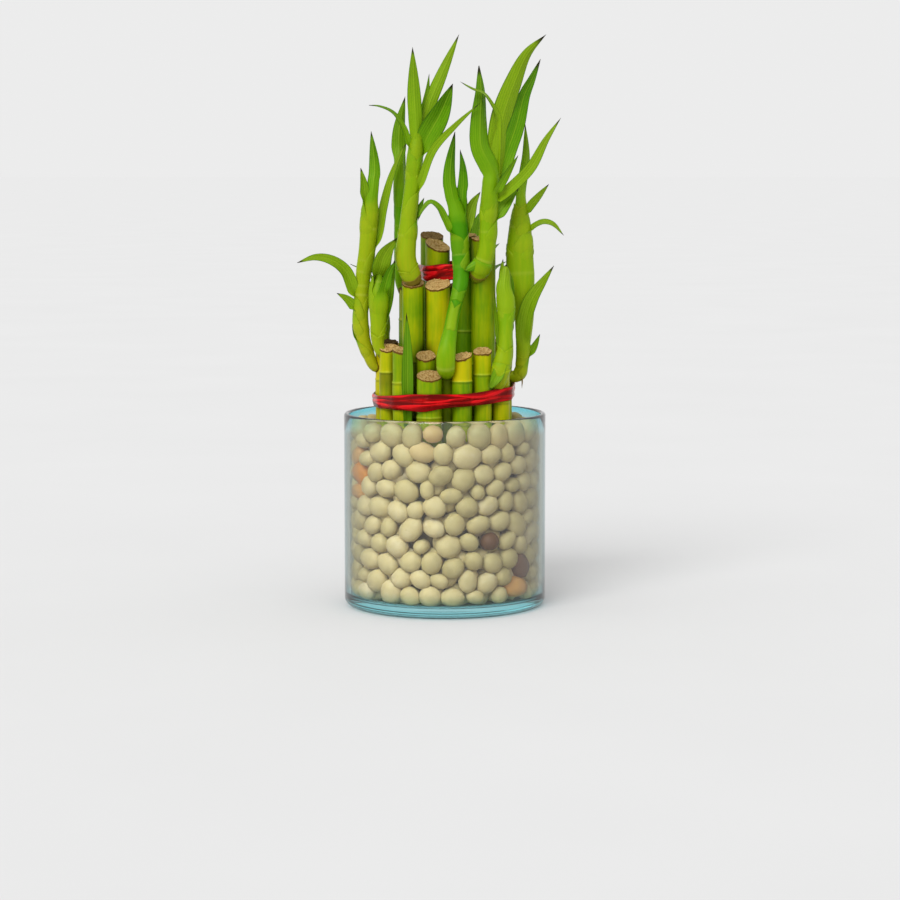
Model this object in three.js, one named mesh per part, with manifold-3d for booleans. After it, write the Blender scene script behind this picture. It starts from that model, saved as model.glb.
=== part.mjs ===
// Lucky bamboo: a bundle of Dracaena canes in three heights, tied with two red satin ribbons,
// standing in a clear glass cylinder filled with cream pebbles.
// Millimetres, +Z up, front of the plant towards -Y, origin at the middle of the vase's foot.

import * as THREE from 'three';
import { mergeVertices } from 'three/addons/utils/BufferGeometryUtils.js';
import Module from 'manifold-3d';

const wasm = await Module();
wasm.setup();
const { Manifold, Mesh: SolidMesh } = wasm;

// ---- driving dimensions ------------------------------------------------------------------------

const GAP = 0.3; // clearance between touching pieces

const VASE = { radius: 50, height: 96, wall: 2.6, floor: 5, footCorner: 4, innerCorner: 2.4, sides: 40 };

const CANE_SIDES = 9;
const CANE_FOOT_Z = VASE.floor + 2 * GAP;
const NODE_RING = { proud: 0.35, spacing: 31, firstBelowTop: 16, halfHeight: 1.3 };
const CUT_SLANT = 0.16; // rise of a cut end from front to back, per millimetre

const BED = { top: 86.5, reach: 47, cornerRadius: 44.6, cornerRise: 2.7 };
const STONES = { perRow: 20, pitch: 11.6, crown: 46.9, shoulder: 46.0, valley: 42.6, shoulderShare: 0.62 };
const STONE_JITTER = { sideways: 0.1, upright: 1.1, depth: 0.35 };
const TOP_STONE = { across: 5.6, upright: 4.6, deep: 4.9 };
const TOP_STONES = { count: 14, radius: 40.2, z: 88.2, stray: 1.6, turn: 0.7 };

const BLADE = { thickness: 0.9, edge: 0.6, fold: 0.22, widest: 0.42, baseShare: 0.55, tipPower: 1.7 };
const BLADE_LAST_RING = 0.92; // share of the length where the last ring of a blade lies
const FINE = 0.05; // smaller features than this are merged
const STEM_SIDES = 8;

const RIBBON_THICKNESS = 1.1;
const LOWER_RIBBON = { z: 104.0, height: 6.8, slopeX: 0.065, slopeY: 0.025 };
const UPPER_RIBBON = { z: 165.6, height: 7.4, slopeX: 0.035, slopeY: 0 };

const LEAF_GREEN = 0x6f9f1c;
const CANE_GREEN = 0x93a81c;
const STONE_CREAM = 0xcfc59c;
const RIBBON_RED = 0xb00a18;
const GLASS_BLUE = 0xcfe8f0;

// ---- canes: [x, y, radius, top z] --------------------------------------------------------------

const CANES = {
  low_left: [-29.6, -3.0, 4.7, 128.9],
  low_left_front: [-27.4, -13.6, 4.7, 129.4],
  low_front_left: [-20.6, -21.6, 5.0, 128.8],
  low_front: [-7.4, -29.6, 6.2, 116.6],
  low_front_inner: [-9.2, -17.8, 4.9, 126.4],
  low_front_slim: [1.2, -21.2, 4.5, 117.0],
  low_front_right: [8.4, -28.2, 4.9, 126.4],
  low_right_front: [18.4, -23.0, 4.7, 128.6],
  low_right_outer: [27.4, -17.0, 4.5, 119.0],
  low_right: [28.6, 0.4, 4.7, 119.0],
  low_left_back: [-28.1, 8.6, 4.9, 130.6],
  mid_left: [-15.6, -8.6, 5.6, 161.4],
  mid_front: [-3.4, -6.8, 6.3, 160.2],
  mid_left_back: [-17.2, 3.6, 5.6, 158.0],
  mid_right_back: [13.6, 13.6, 5.3, 158.0],
  mid_back: [4.4, 19.4, 4.6, 158.0],
  top_front: [-3.5, 6.2, 6.2, 179.0],
  top_back: [-6.4, 18.4, 5.9, 183.2],
  top_middle: [9.8, 2.0, 6.0, 183.6],
  top_right: [19.0, -8.8, 6.1, 182.4],
};

// The back row of short canes stands on an arc behind the others; angles count from +X.
const BACK_ROW = { count: 7, radius: 29, centreY: 1.6, first: 145, step: -21, caneRadius: 5, top: 128 };

for (let i = 0; i < BACK_ROW.count; i += 1) {
  const turn = THREE.MathUtils.degToRad(BACK_ROW.first + i * BACK_ROW.step);
  const x = BACK_ROW.radius * Math.cos(turn);
  const y = BACK_ROW.centreY + BACK_ROW.radius * Math.sin(turn);
  CANES[`back_${i + 1}`] = [x, y, BACK_ROW.caneRadius, BACK_ROW.top + 3 * Math.sin(2.4 * i)];
}

const UPPER_RIBBON_CANES = ['top_front', 'top_back', 'top_middle'];

// ---- shoots ------------------------------------------------------------------------------------
// stem: [x, y, z, half width, half depth]; its first station lies inside the cane it grows from.
// leaves: width, the way the upper face looks, and the midrib from the stem to the tip.

const FRONT = [0, -1, 0.1];
const FRONT_UP = [0, -1, 0.35];
const UP = [0, -0.6, 0.8];
const LEFT = [-0.3, -1, 0.1];
const RIGHT = [0.35, -1, 0];
const BACK_UP = [0, 1, 0.5];

const SHOOTS = {
  low_left: {
    stem: [
      [-30, -3.5, 118.6, 2.5, 2.4],
      [-34.4, -4.5, 119.1, 2.7, 2.6],
      [-39.1, -5.5, 129.6, 2.8, 2.6],
      [-41.3, -6, 138.5, 3.3, 2.7],
      [-41.3, -6, 151.8, 2.6, 2.5],
      [-40.6, -6, 164.1, 3, 2.5],
      [-39.3, -6, 176.5, 3, 2.4],
      [-38.3, -6, 191.2, 3, 2.2],
      [-37.9, -6, 199.6, 2.2, 1.8],
    ],
    leaves: [
      { width: 5, face: UP, path: [[-42, -6, 150.5], [-44.5, -7, 156], [-48.5, -9, 166],
        [-55.5, -12, 171.5], [-63, -14, 173], [-72, -16, 170.5]] },
      { width: 4.4, face: FRONT_UP, path: [[-41, -6, 141], [-44, -7, 148], [-48, -8, 152.5],
        [-53, -9, 155.5]] },
      { width: 2.4, face: FRONT, path: [[-41.5, -5, 129.5], [-44, -5.5, 134], [-45.5, -6, 140]] },
      { width: 5, face: FRONT, path: [[-36.5, -5.5, 193.5], [-34.5, -5, 203.5], [-34.5, -4.5, 215],
        [-36, -3, 234.5]] },
      { width: 4.6, face: RIGHT, path: [[-39, -7, 193.5], [-39, -7.5, 202], [-39.5, -8, 209.5],
        [-41, -8.5, 216.5]] },
      { width: 4.4, face: LEFT, path: [[-37, -5, 173.5], [-32.5, -4.5, 183], [-30, -4, 197],
        [-26, -3.5, 212.5], [-21, -3, 224.5], [-18, -2.5, 229.5]] },
      { width: 4.4, face: BACK_UP, path: [[-40.5, -4.5, 153], [-39.5, 4, 170], [-39.5, 12, 181],
        [-39.5, 20, 185.5]] },
    ],
  },
  low_left_front: {
    stem: [
      [-29.8, -12, 124.6, 2.5, 2.4],
      [-32.5, -12, 130, 2.8, 2.8],
      [-32.5, -12, 141.3, 3.9, 3.2],
      [-32.4, -12, 149.6, 4.5, 3.4],
      [-32.3, -12, 158.5, 4.4, 3],
      [-31.8, -12, 165.8, 2.9, 2.2],
    ],
    leaves: [
      { width: 9.8, face: RIGHT, path: [[-32.5, -12.5, 153.5], [-32, -14.5, 164], [-29.5, -17, 174],
        [-23, -19.5, 183]] },
      { width: 5.4, face: FRONT, path: [[-31, -10.5, 139], [-28.5, -8, 149.5], [-26.5, -6.5, 161.5],
        [-24.5, -6, 172]] },
      { width: 5, face: RIGHT, path: [[-31, -14, 152], [-29, -16, 159.5], [-27, -17, 166],
        [-24, -18, 171.5]] },
    ],
  },
  low_front_left: {
    stem: [],
    leaves: [
      { width: 5.8, face: FRONT, path: [[-18, -25.5, 90.5], [-18, -26.5, 99.5], [-18, -28, 115],
        [-18, -28.5, 132.5], [-18.5, -28, 147]] },
    ],
  },
  mid_left_back: {
    stem: [
      [-18.6, 3.6, 150.5, 2.2, 2.6],
      [-22, 3.4, 160.5, 2.5, 2.6],
      [-22.5, 3.2, 172.2, 2.5, 2.6],
      [-22.4, 3.2, 193.5, 2.5, 2.4],
      [-22.5, 3.6, 213.4, 2.6, 2.2],
      [-22.5, 4, 220.9, 2.2, 1.8],
    ],
    leaves: [
      { width: 7.4, face: FRONT, path: [[-22.5, 3.5, 206], [-22.5, 4, 220], [-22.5, 5, 235.5],
        [-19.5, 6, 251.5]] },
      { width: 5.4, face: BACK_UP, path: [[-22, 4, 198.5], [-22, 10, 215], [-21, 17, 228.5],
        [-19.5, 22, 235]] },
      { width: 5.4, face: BACK_UP, path: [[-22, 5, 188.5], [-18, 11, 203.5], [-15.5, 18, 215]] },
    ],
  },
  mid_left: {
    stem: [
      [-16.1, -10, 156.9, 3.4, 3.4],
      [-17.3, -12, 163.4, 4.7, 4.2],
      [-19.2, -13, 171.8, 5.2, 4.3],
      [-18.2, -13, 184, 4.5, 3.8],
      [-17.4, -13, 196.3, 3.7, 3.3],
      [-15.3, -13, 212.5, 3.6, 3.1],
      [-14.1, -13, 225.7, 3.3, 2.9],
      [-13.4, -13, 234.1, 2.9, 2.5],
    ],
    leaves: [
      { width: 3.4, face: UP, path: [[-15.5, -13.5, 221], [-17.5, -14.5, 228.5], [-20, -16, 236],
        [-25, -18, 243], [-31.5, -20, 246], [-36.5, -21, 246.5]] },
      { width: 6.4, face: FRONT, path: [[-13.5, -13.5, 230.5], [-14.5, -14, 241.5], [-15, -14.5, 253],
        [-15.5, -16, 274.5]] },
      { width: 6.6, face: LEFT, path: [[-12.5, -11.5, 230.5], [-7.5, -10, 247.5], [-1.5, -9, 262],
        [7, -8, 281]] },
      { width: 3, face: FRONT, path: [[-12.5, -11, 234], [-11, -9.5, 241.5], [-8.5, -8, 253],
        [-7.5, -7.5, 262]] },
      { width: 11.2, face: FRONT_UP, path: [[-12.5, -14.5, 224.5], [-8.5, -16, 232], [-2.5, -18, 242],
        [4, -20, 257]] },
      { width: 4, face: FRONT_UP, path: [[-14.5, -13.5, 201], [-11, -15.5, 211], [-5.5, -18, 225],
        [5, -22, 236.5], [17, -26, 247.5]] },
      { width: 3.4, face: FRONT, path: [[-15.5, -12, 188.5], [-12.5, -11.5, 196.5], [-10, -11, 202]] },
      { width: 5, face: BACK_UP, path: [[-14.5, -12, 217], [-14, -3, 232], [-14, 4, 240]] },
    ],
  },
  low_front_slim: {
    stem: [
      [1.2, -22.5, 113.2, 1.6, 2],
      [1.1, -28, 115.6, 1.6, 2.2],
      [0.6, -34, 119.5, 3.1, 2.4],
      [0.6, -35, 123.9, 4.6, 2.7],
      [1.3, -34.2, 130.6, 4.2, 2.8],
      [2.8, -30, 138.5, 3.4, 3],
      [4, -25.5, 145.5, 3.2, 3],
      [6, -20, 153.5, 3.3, 3],
      [7.7, -17, 160.7, 3.8, 3.2],
      [8.1, -15.5, 167, 4, 3.3],
      [7.7, -14.5, 173.8, 4, 3.3],
      [7.2, -14, 183.6, 4.2, 3.1],
      [6, -14, 193.9, 4.4, 2.8],
      [6, -14, 201.2, 3.9, 2.2],
    ],
    leaves: [
      { width: 6.6, face: RIGHT, path: [[4.5, -15, 191.5], [3, -16, 203.5], [2.5, -16.5, 215],
        [5, -17, 234]] },
      { width: 5.4, face: LEFT, path: [[8.5, -13, 190.5], [9, -12.5, 203.5], [9, -12.5, 216],
        [7.5, -12.5, 225.5]] },
      { width: 4, face: UP, path: [[4, -16, 182.5], [0.5, -17, 191], [-3, -18, 197.5],
        [-7, -18.5, 200], [-11, -19, 196], [-13, -19.5, 191]] },
      { width: 6.4, face: FRONT, path: [[9, -12, 181.5], [12, -11, 193.5], [14, -10, 199.5],
        [17.5, -9.5, 205]] },
      { width: 5, face: BACK_UP, path: [[8, -12.5, 174], [9, -5, 190], [9.5, 2, 203], [9.5, 8, 210]] },
    ],
  },
  top_right: {
    stem: [
      [16.3, -11, 157, 3.4, 3.6],
      [17.7, -15.5, 165.5, 4.4, 4],
      [20.2, -17.5, 171.9, 4.2, 3.9],
      [20.9, -18, 180.7, 4.1, 3.6],
      [21, -18, 190.5, 4, 3.5],
      [21.7, -18, 201.3, 3.9, 3.4],
      [22.4, -18, 210.5, 3.8, 3],
    ],
    leaves: [
      { width: 9.6, face: RIGHT, path: [[24, -19, 206], [22.5, -20.5, 216], [17.5, -21.5, 226.5],
        [17, -22, 239.5], [17.5, -21.5, 252.5], [16.5, -20.5, 265.5]] },
      { width: 3.4, face: UP, path: [[26, -18, 236], [25.5, -19, 240.5], [22.5, -22, 247], [18.5, -25, 252],
        [13.5, -27, 254], [7.5, -28.5, 257.5]] },
      { width: 10.8, face: RIGHT, path: [[24, -17, 207.5], [25.5, -17.5, 223], [27.5, -18, 239.5],
        [33.5, -18, 257.5], [40, -18, 271.5], [49, -18, 280.5]] },
      { width: 8.8, face: RIGHT, path: [[24, -16.5, 204], [26, -15, 211], [29, -14, 221],
        [34.5, -13, 236.5], [38.5, -12, 251.5], [42, -11.5, 259], [46.5, -11, 269]] },
      { width: 4, face: RIGHT, path: [[23.5, -20, 201.5], [27.5, -21.5, 209], [31.5, -22.5, 216],
        [35.5, -23, 222.5]] },
      { width: 5.4, face: LEFT, path: [[23.5, -18.5, 199], [32, -20.5, 206.5], [42, -22, 217],
        [49, -23, 230], [56, -23, 240.5]] },
      { width: 7.4, face: FRONT, path: [[21.5, -17.5, 187.5], [27, -16, 196.5], [31.5, -14.5, 202],
        [36, -13, 206.5]] },
      { width: 5, face: BACK_UP, path: [[22, -15.5, 198], [23, -6, 215], [23, 2, 226], [22.5, 8, 231]] },
    ],
  },
  low_right: {
    stem: [
      [30.8, -0.5, 113.9, 2.7, 2.8],
      [36.3, -1.5, 114.4, 3.1, 3],
      [38.1, -2, 120.9, 2.8, 2.8],
      [38.7, -2.5, 129.4, 3.5, 3],
      [39.2, -2.5, 141.7, 4.6, 3.4],
      [39.2, -2.5, 151.6, 5.1, 3.6],
      [37.5, -2.5, 161, 6.8, 3.8],
      [37, -2.5, 170.4, 6.8, 3.8],
      [36.9, -2.5, 180.3, 6.2, 3.5],
      [36.9, -2.5, 190.2, 4.8, 3],
      [36.9, -2.5, 196.6, 3.5, 2.4],
      [37, -2.5, 201.1, 2.7, 2],
    ],
    leaves: [
      { width: 5, face: RIGHT, path: [[37, -2, 196], [38, -1.5, 207], [40, -1, 222], [39.5, 0, 238]] },
      { width: 4.4, face: LEFT, path: [[37.5, -3, 190], [41.5, -3.5, 197], [46, -4, 202.5],
        [51, -4.5, 208.5]] },
      { width: 4, face: UP, path: [[39.5, -3, 182.5], [43.5, -3.5, 187.5], [48.5, -4, 190],
        [53, -4.5, 189], [58.5, -5, 183.5]] },
      { width: 7.8, face: LEFT, path: [[38, -4, 127], [38.5, -6.5, 135], [39.5, -7.5, 143], [43, -8.5, 153],
        [48.5, -9.5, 161.5], [53.5, -10.5, 169]] },
      { width: 4, face: FRONT, path: [[38.5, -2, 119], [41.5, -2.5, 124.5], [44.5, -3, 129.5],
        [47, -3.5, 135]] },
      { width: 4.4, face: BACK_UP, path: [[37.5, 0, 178.5], [38, 7, 193.5], [38, 15, 203],
        [38, 21, 206]] },
    ],
  },
  low_right_outer: {
    stem: [
      [27, -18, 110.4, 2.4, 2.4],
      [27.1, -23.5, 114.3, 3.2, 2.6],
      [27.6, -24.5, 118.2, 3.9, 3],
      [28.2, -24, 123.1, 4.3, 3.2],
      [29.4, -22.8, 129.9, 3.6, 3.2],
      [29.8, -21.5, 140.4, 3.5, 3],
      [29.8, -20, 151, 4.3, 3],
      [28.9, -19.5, 158.3, 3.8, 2.6],
      [29.4, -19, 163.7, 2.7, 2],
    ],
    leaves: [
      { width: 5.8, face: FRONT, path: [[28, -26, 121], [26.5, -27.5, 117], [24, -28.5, 113],
        [22, -29, 110]] },
      { width: 7.4, face: FRONT, path: [[29.5, -20.5, 152.5], [29, -20.5, 159], [29, -20, 164],
        [30, -19, 170]] },
      { width: 5.8, face: RIGHT, path: [[31, -19, 146.5], [31.5, -18, 155], [31.5, -17, 162],
        [30, -15, 168]] },
      { width: 4.4, face: FRONT, path: [[29.5, -18, 149], [28.5, -14.5, 160.5], [28, -13.5, 167],
        [28.5, -13, 172.5]] },
      { width: 2.6, face: RIGHT, path: [[27.5, -17, 116], [26.5, -17, 130], [25, -16, 143.5],
        [24.5, -15, 156.5]] },
    ],
  },
};

// Shoots of the back canes follow one rule: a short stem that leaves its cane outwards and climbs,
// with leaves turned to either side in turn. turn and spread are degrees from +X.
const BACK_SHOOTS = {
  back_1: { turn: 150, foot: 116, top: 150, leaves: 4, reach: 17, rise: 27, spread: 55 },
  back_3: { turn: 100, foot: 114, top: 147, leaves: 4, reach: 18, rise: 27, spread: 50 },
  back_5: { turn: 66, foot: 115, top: 155, leaves: 4, reach: 18, rise: 28, spread: 42 },
  back_7: { turn: 62, foot: 112, top: 138, leaves: 4, reach: 16, rise: 24, spread: 34 },
  mid_right_back: { turn: 74, foot: 146, top: 178, leaves: 4, reach: 15, rise: 22, spread: 26 },
};
const BACK_STEM = { halfWidth: 2.9, halfDepth: 2.6, standOff: 2.8, leafWidth: 7.5 };

function backShoot(name) {
  const [caneX, caneY, caneRadius] = CANES[name];
  const { turn, foot, top, leaves, reach, rise, spread } = BACK_SHOOTS[name];
  const out = THREE.MathUtils.degToRad(turn);
  const { halfWidth, halfDepth, standOff, leafWidth } = BACK_STEM;
  const station = (distance, z, size) => [
    caneX + distance * Math.cos(out),
    caneY + distance * Math.sin(out),
    z,
    halfWidth * size,
    halfDepth * size,
  ];
  const away = caneRadius + standOff;
  const height = top - foot;
  const stem = [
    station(caneRadius * 0.4, foot, 0.85),
    station(caneRadius + 1.2, foot + 1.5, 0.95),
    station(away, foot + 0.3 * height + 2, 1),
    station(away, foot + 0.6 * height + 2, 0.95),
    station(away, top, 0.7),
  ];
  const blades = [];
  for (let i = 0; i < leaves; i += 1) {
    const share = (i + 1) / leaves;
    const side = i % 2 === 0 ? 1 : -1;
    const bearing = out + THREE.MathUtils.degToRad(side * spread * (1.1 - 0.8 * share));
    const baseZ = top - 0.45 * height * (1 - share) - 2;
    const climb = (distance, lift) => [
      caneX + away * Math.cos(out) + distance * reach * Math.cos(bearing),
      caneY + away * Math.sin(out) + distance * reach * Math.sin(bearing),
      baseZ + lift * rise,
    ];
    blades.push({
      width: leafWidth,
      face: [-0.6 * Math.cos(bearing), -0.6 * Math.sin(bearing), 0.8],
      path: [climb(0, 0), climb(0.16, 0.36), climb(0.52, 0.74), climb(1, 0.9)],
    });
  }
  return { stem, leaves: blades };
}

for (const name of Object.keys(BACK_SHOOTS)) {
  SHOOTS[name] = backShoot(name);
}

// ---- helpers -----------------------------------------------------------------------------------

// One seeded series of numbers from 0 to 1, so that every build gives the same stones.
function seededSeries(seed) {
  let state = seed;
  return () => {
    state = (state * 16807) % 2147483647;
    return state / 2147483647;
  };
}

function toSolid(geometry) {
  const bare = geometry.index ? geometry.toNonIndexed() : geometry.clone();
  bare.deleteAttribute('normal');
  bare.deleteAttribute('uv');
  const merged = mergeVertices(bare, 1e-4);
  const mesh = new SolidMesh({
    numProp: 3,
    vertProperties: new Float32Array(merged.attributes.position.array),
    triVerts: new Uint32Array(merged.index.array),
  });
  return new Manifold(mesh);
}

function toGeometry(solid) {
  const { vertProperties, triVerts, numProp } = solid.getMesh();
  const geometry = new THREE.BufferGeometry();
  const positions = new Float32Array((vertProperties.length / numProp) * 3);
  for (let i = 0; i < positions.length / 3; i += 1) {
    positions.set(vertProperties.subarray(i * numProp, i * numProp + 3), 3 * i);
  }
  geometry.setAttribute('position', new THREE.BufferAttribute(positions, 3));
  geometry.setIndex(new THREE.BufferAttribute(new Uint32Array(triVerts), 1));
  return geometry;
}

// Fuses solids and keeps the one largest body, so no loose scrap stays behind.
function fuse(solids) {
  return largestBody(Manifold.union(solids));
}

function largestBody(solid) {
  const bodies = solid.simplify(FINE).decompose();
  return bodies.reduce((best, body) => (body.volume() > best.volume() ? body : best));
}

// A closed solid skinned over rings of equally many points, closed flat at both ends, or by one
// point past the last ring. mirrored lists the ring's sides whose squares are split the other way,
// so that the two faces of a thin blade have triangles alike.
function skin(rings, { mirrored = [], tip = null } = {}) {
  const points = rings.flat();
  const sides = rings[0].length;
  const faces = [];
  for (let i = 0; i + 1 < rings.length; i += 1) {
    for (let j = 0; j < sides; j += 1) {
      const a = i * sides + j;
      const b = i * sides + ((j + 1) % sides);
      const c = b + sides;
      const d = a + sides;
      if (mirrored.includes(j)) {
        faces.push(a, b, d, b, c, d);
      } else {
        faces.push(a, b, c, a, c, d);
      }
    }
  }
  const last = (rings.length - 1) * sides;
  faces.push(...capFaces(sides, 0).reverse());
  if (tip) {
    points.push(tip);
    for (let j = 0; j < sides; j += 1) {
      faces.push(last + j, last + ((j + 1) % sides), points.length - 1);
    }
  } else {
    faces.push(...capFaces(sides, last));
  }
  return turnOutward(meshFrom(points, faces));
}

// The flat end on a ring whose points start at first: a strip across it, which also suits the
// bent section of a blade.
function capFaces(sides, first) {
  const faces = [];
  for (let j = 0; 2 * j + 3 <= sides; j += 1) {
    const [a, b, c, d] = [j, j + 1, sides - 2 - j, sides - 1 - j].map((k) => first + k);
    faces.push(a, b, d);
    if (b < c) {
      faces.push(b, c, d);
    }
  }
  return faces;
}

function meshFrom(points, faces) {
  const geometry = new THREE.BufferGeometry().setFromPoints(points);
  geometry.setIndex(faces);
  return geometry;
}

// Turns every face round when the mesh is inside out.
function turnOutward(geometry) {
  const p = geometry.attributes.position;
  const index = geometry.index.array;
  const [a, b, c] = [new THREE.Vector3(), new THREE.Vector3(), new THREE.Vector3()];
  let volume = 0;
  for (let i = 0; i < index.length; i += 3) {
    a.fromBufferAttribute(p, index[i]);
    b.fromBufferAttribute(p, index[i + 1]);
    c.fromBufferAttribute(p, index[i + 2]);
    volume += a.dot(b.cross(c));
  }
  if (volume < 0) {
    for (let i = 0; i < index.length; i += 3) {
      [index[i], index[i + 1]] = [index[i + 1], index[i]];
    }
  }
  return geometry;
}

const vector = (values) => new THREE.Vector3(values[0], values[1], values[2]);

function smoothPath(points) {
  return new THREE.CatmullRomCurve3(points.map(vector), false, 'centripetal');
}

// ---- pieces ------------------------------------------------------------------------------------

function roundCorner(profile, centreR, centreZ, radius, from, to, steps) {
  for (let i = 0; i <= steps; i += 1) {
    const angle = THREE.MathUtils.degToRad(from + ((to - from) * i) / steps);
    profile.push(new THREE.Vector2(centreR + radius * Math.cos(angle), centreZ + radius * Math.sin(angle)));
  }
}

// The glass: one turned wall and floor with a rounded foot and a fire-polished rim.
function vaseGeometry() {
  const { radius, height, wall, floor, footCorner, innerCorner, sides } = VASE;
  const rim = wall / 2;
  const inner = radius - wall;
  const profile = [new THREE.Vector2(0, 0)];
  roundCorner(profile, radius - footCorner, footCorner, footCorner, -90, 0, 3);
  roundCorner(profile, radius - rim, height - rim, rim, 0, 180, 4);
  roundCorner(profile, inner - innerCorner, floor + innerCorner, innerCorner, 0, -90, 2);
  profile.push(new THREE.Vector2(0, floor));
  const turned = new THREE.LatheGeometry(profile, sides);
  turned.rotateX(Math.PI / 2);
  return toGeometry(toSolid(turned));
}

// A straight cane: node rings at their spacing down from the top, and a slanted cut end.
function caneSolid([x, y, radius, top]) {
  const levels = [[CANE_FOOT_Z, radius - NODE_RING.proud]];
  const nodes = [];
  for (let z = top - NODE_RING.firstBelowTop; z > BED.top; z -= NODE_RING.spacing) {
    nodes.unshift(z);
  }
  for (const z of nodes) {
    levels.push([z - NODE_RING.halfHeight, radius - NODE_RING.proud]);
    levels.push([z, radius]);
    levels.push([z + NODE_RING.halfHeight, radius - NODE_RING.proud]);
  }
  levels.push([top, radius - NODE_RING.proud]);
  const rings = levels.map(([z, r], level) => {
    const slant = level === levels.length - 1 ? CUT_SLANT : 0;
    return circle(r, CANE_SIDES).map(([dx, dy]) => new THREE.Vector3(x + dx, y + dy, z + slant * dy));
  });
  return toSolid(skin(rings));
}

function circle(radius, sides) {
  return Array.from({ length: sides }, (_, i) => {
    const angle = (2 * Math.PI * i) / sides;
    return [radius * Math.cos(angle), radius * Math.sin(angle)];
  });
}

// A shoot's stem: an oval section carried from station to station, broad side to the front.
function stemSolid(stations) {
  const centres = stations.map(vector);
  const front = new THREE.Vector3(0, -1, 0);
  const up = new THREE.Vector3(0, 0, 1);
  const rings = stations.map(([, , , halfWidth, halfDepth], i) => {
    const before = centres[Math.max(i - 1, 0)];
    const after = centres[Math.min(i + 1, centres.length - 1)];
    const along = after.clone().sub(before).normalize();
    const headOn = Math.abs(along.dot(front)) > 0.8;
    const across = headOn ? up.clone().cross(along).normalize() : along.clone().cross(front).normalize();
    const deep = across.clone().cross(along);
    return circle(1, STEM_SIDES).map(([u, v]) => centres[i].clone()
      .addScaledVector(across, u * halfWidth)
      .addScaledVector(deep, v * halfDepth));
  });
  return toSolid(skin(rings));
}

// Share of the leaf's full width at a share u of its length: sheath, belly, then a long point.
function bladeWidth(u) {
  const { widest, baseShare, tipPower } = BLADE;
  if (u < widest) {
    return baseShare + (1 - baseShare) * Math.sin((u / widest) * (Math.PI / 2));
  }
  return 1 - ((u - widest) / (1 - widest)) ** tipPower;
}

// A leaf: a thin folded blade along its midrib, six points round, ending in a point.
function bladeSolid({ width, face, path }) {
  const midrib = smoothPath(path);
  const facing = vector(face).normalize();
  const steps = path.length > 4 ? 5 : 3;
  const rings = Array.from({ length: steps + 1 }, (_, step) => {
    const u = (BLADE_LAST_RING * step) / steps;
    const centre = midrib.getPointAt(u);
    const along = midrib.getTangentAt(u);
    const across = along.clone().cross(facing).normalize();
    const upward = across.clone().cross(along);
    const half = (width / 2) * bladeWidth(u);
    const raised = BLADE.fold * half;
    const place = (side, lift) => centre.clone()
      .addScaledVector(across, side * half)
      .addScaledVector(upward, lift);
    return [
      place(-1, raised + BLADE.edge / 2),
      place(0, BLADE.thickness / 2),
      place(1, raised + BLADE.edge / 2),
      place(1, raised - BLADE.edge / 2),
      place(0, -BLADE.thickness / 2),
      place(-1, raised - BLADE.edge / 2),
    ];
  });
  return toSolid(skin(rings, { mirrored: [3, 4], tip: midrib.getPointAt(1) }));
}

// A cane, in one body with the leafy shoot that grew out of it where it has one.
function caneGeometry(name) {
  const { stem, leaves } = SHOOTS[name] ?? { stem: [], leaves: [] };
  const stems = stem.length > 0 ? [stemSolid(stem)] : [];
  return toGeometry(fuse([caneSolid(CANES[name]), ...stems, ...leaves.map(bladeSolid)]));
}

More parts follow.
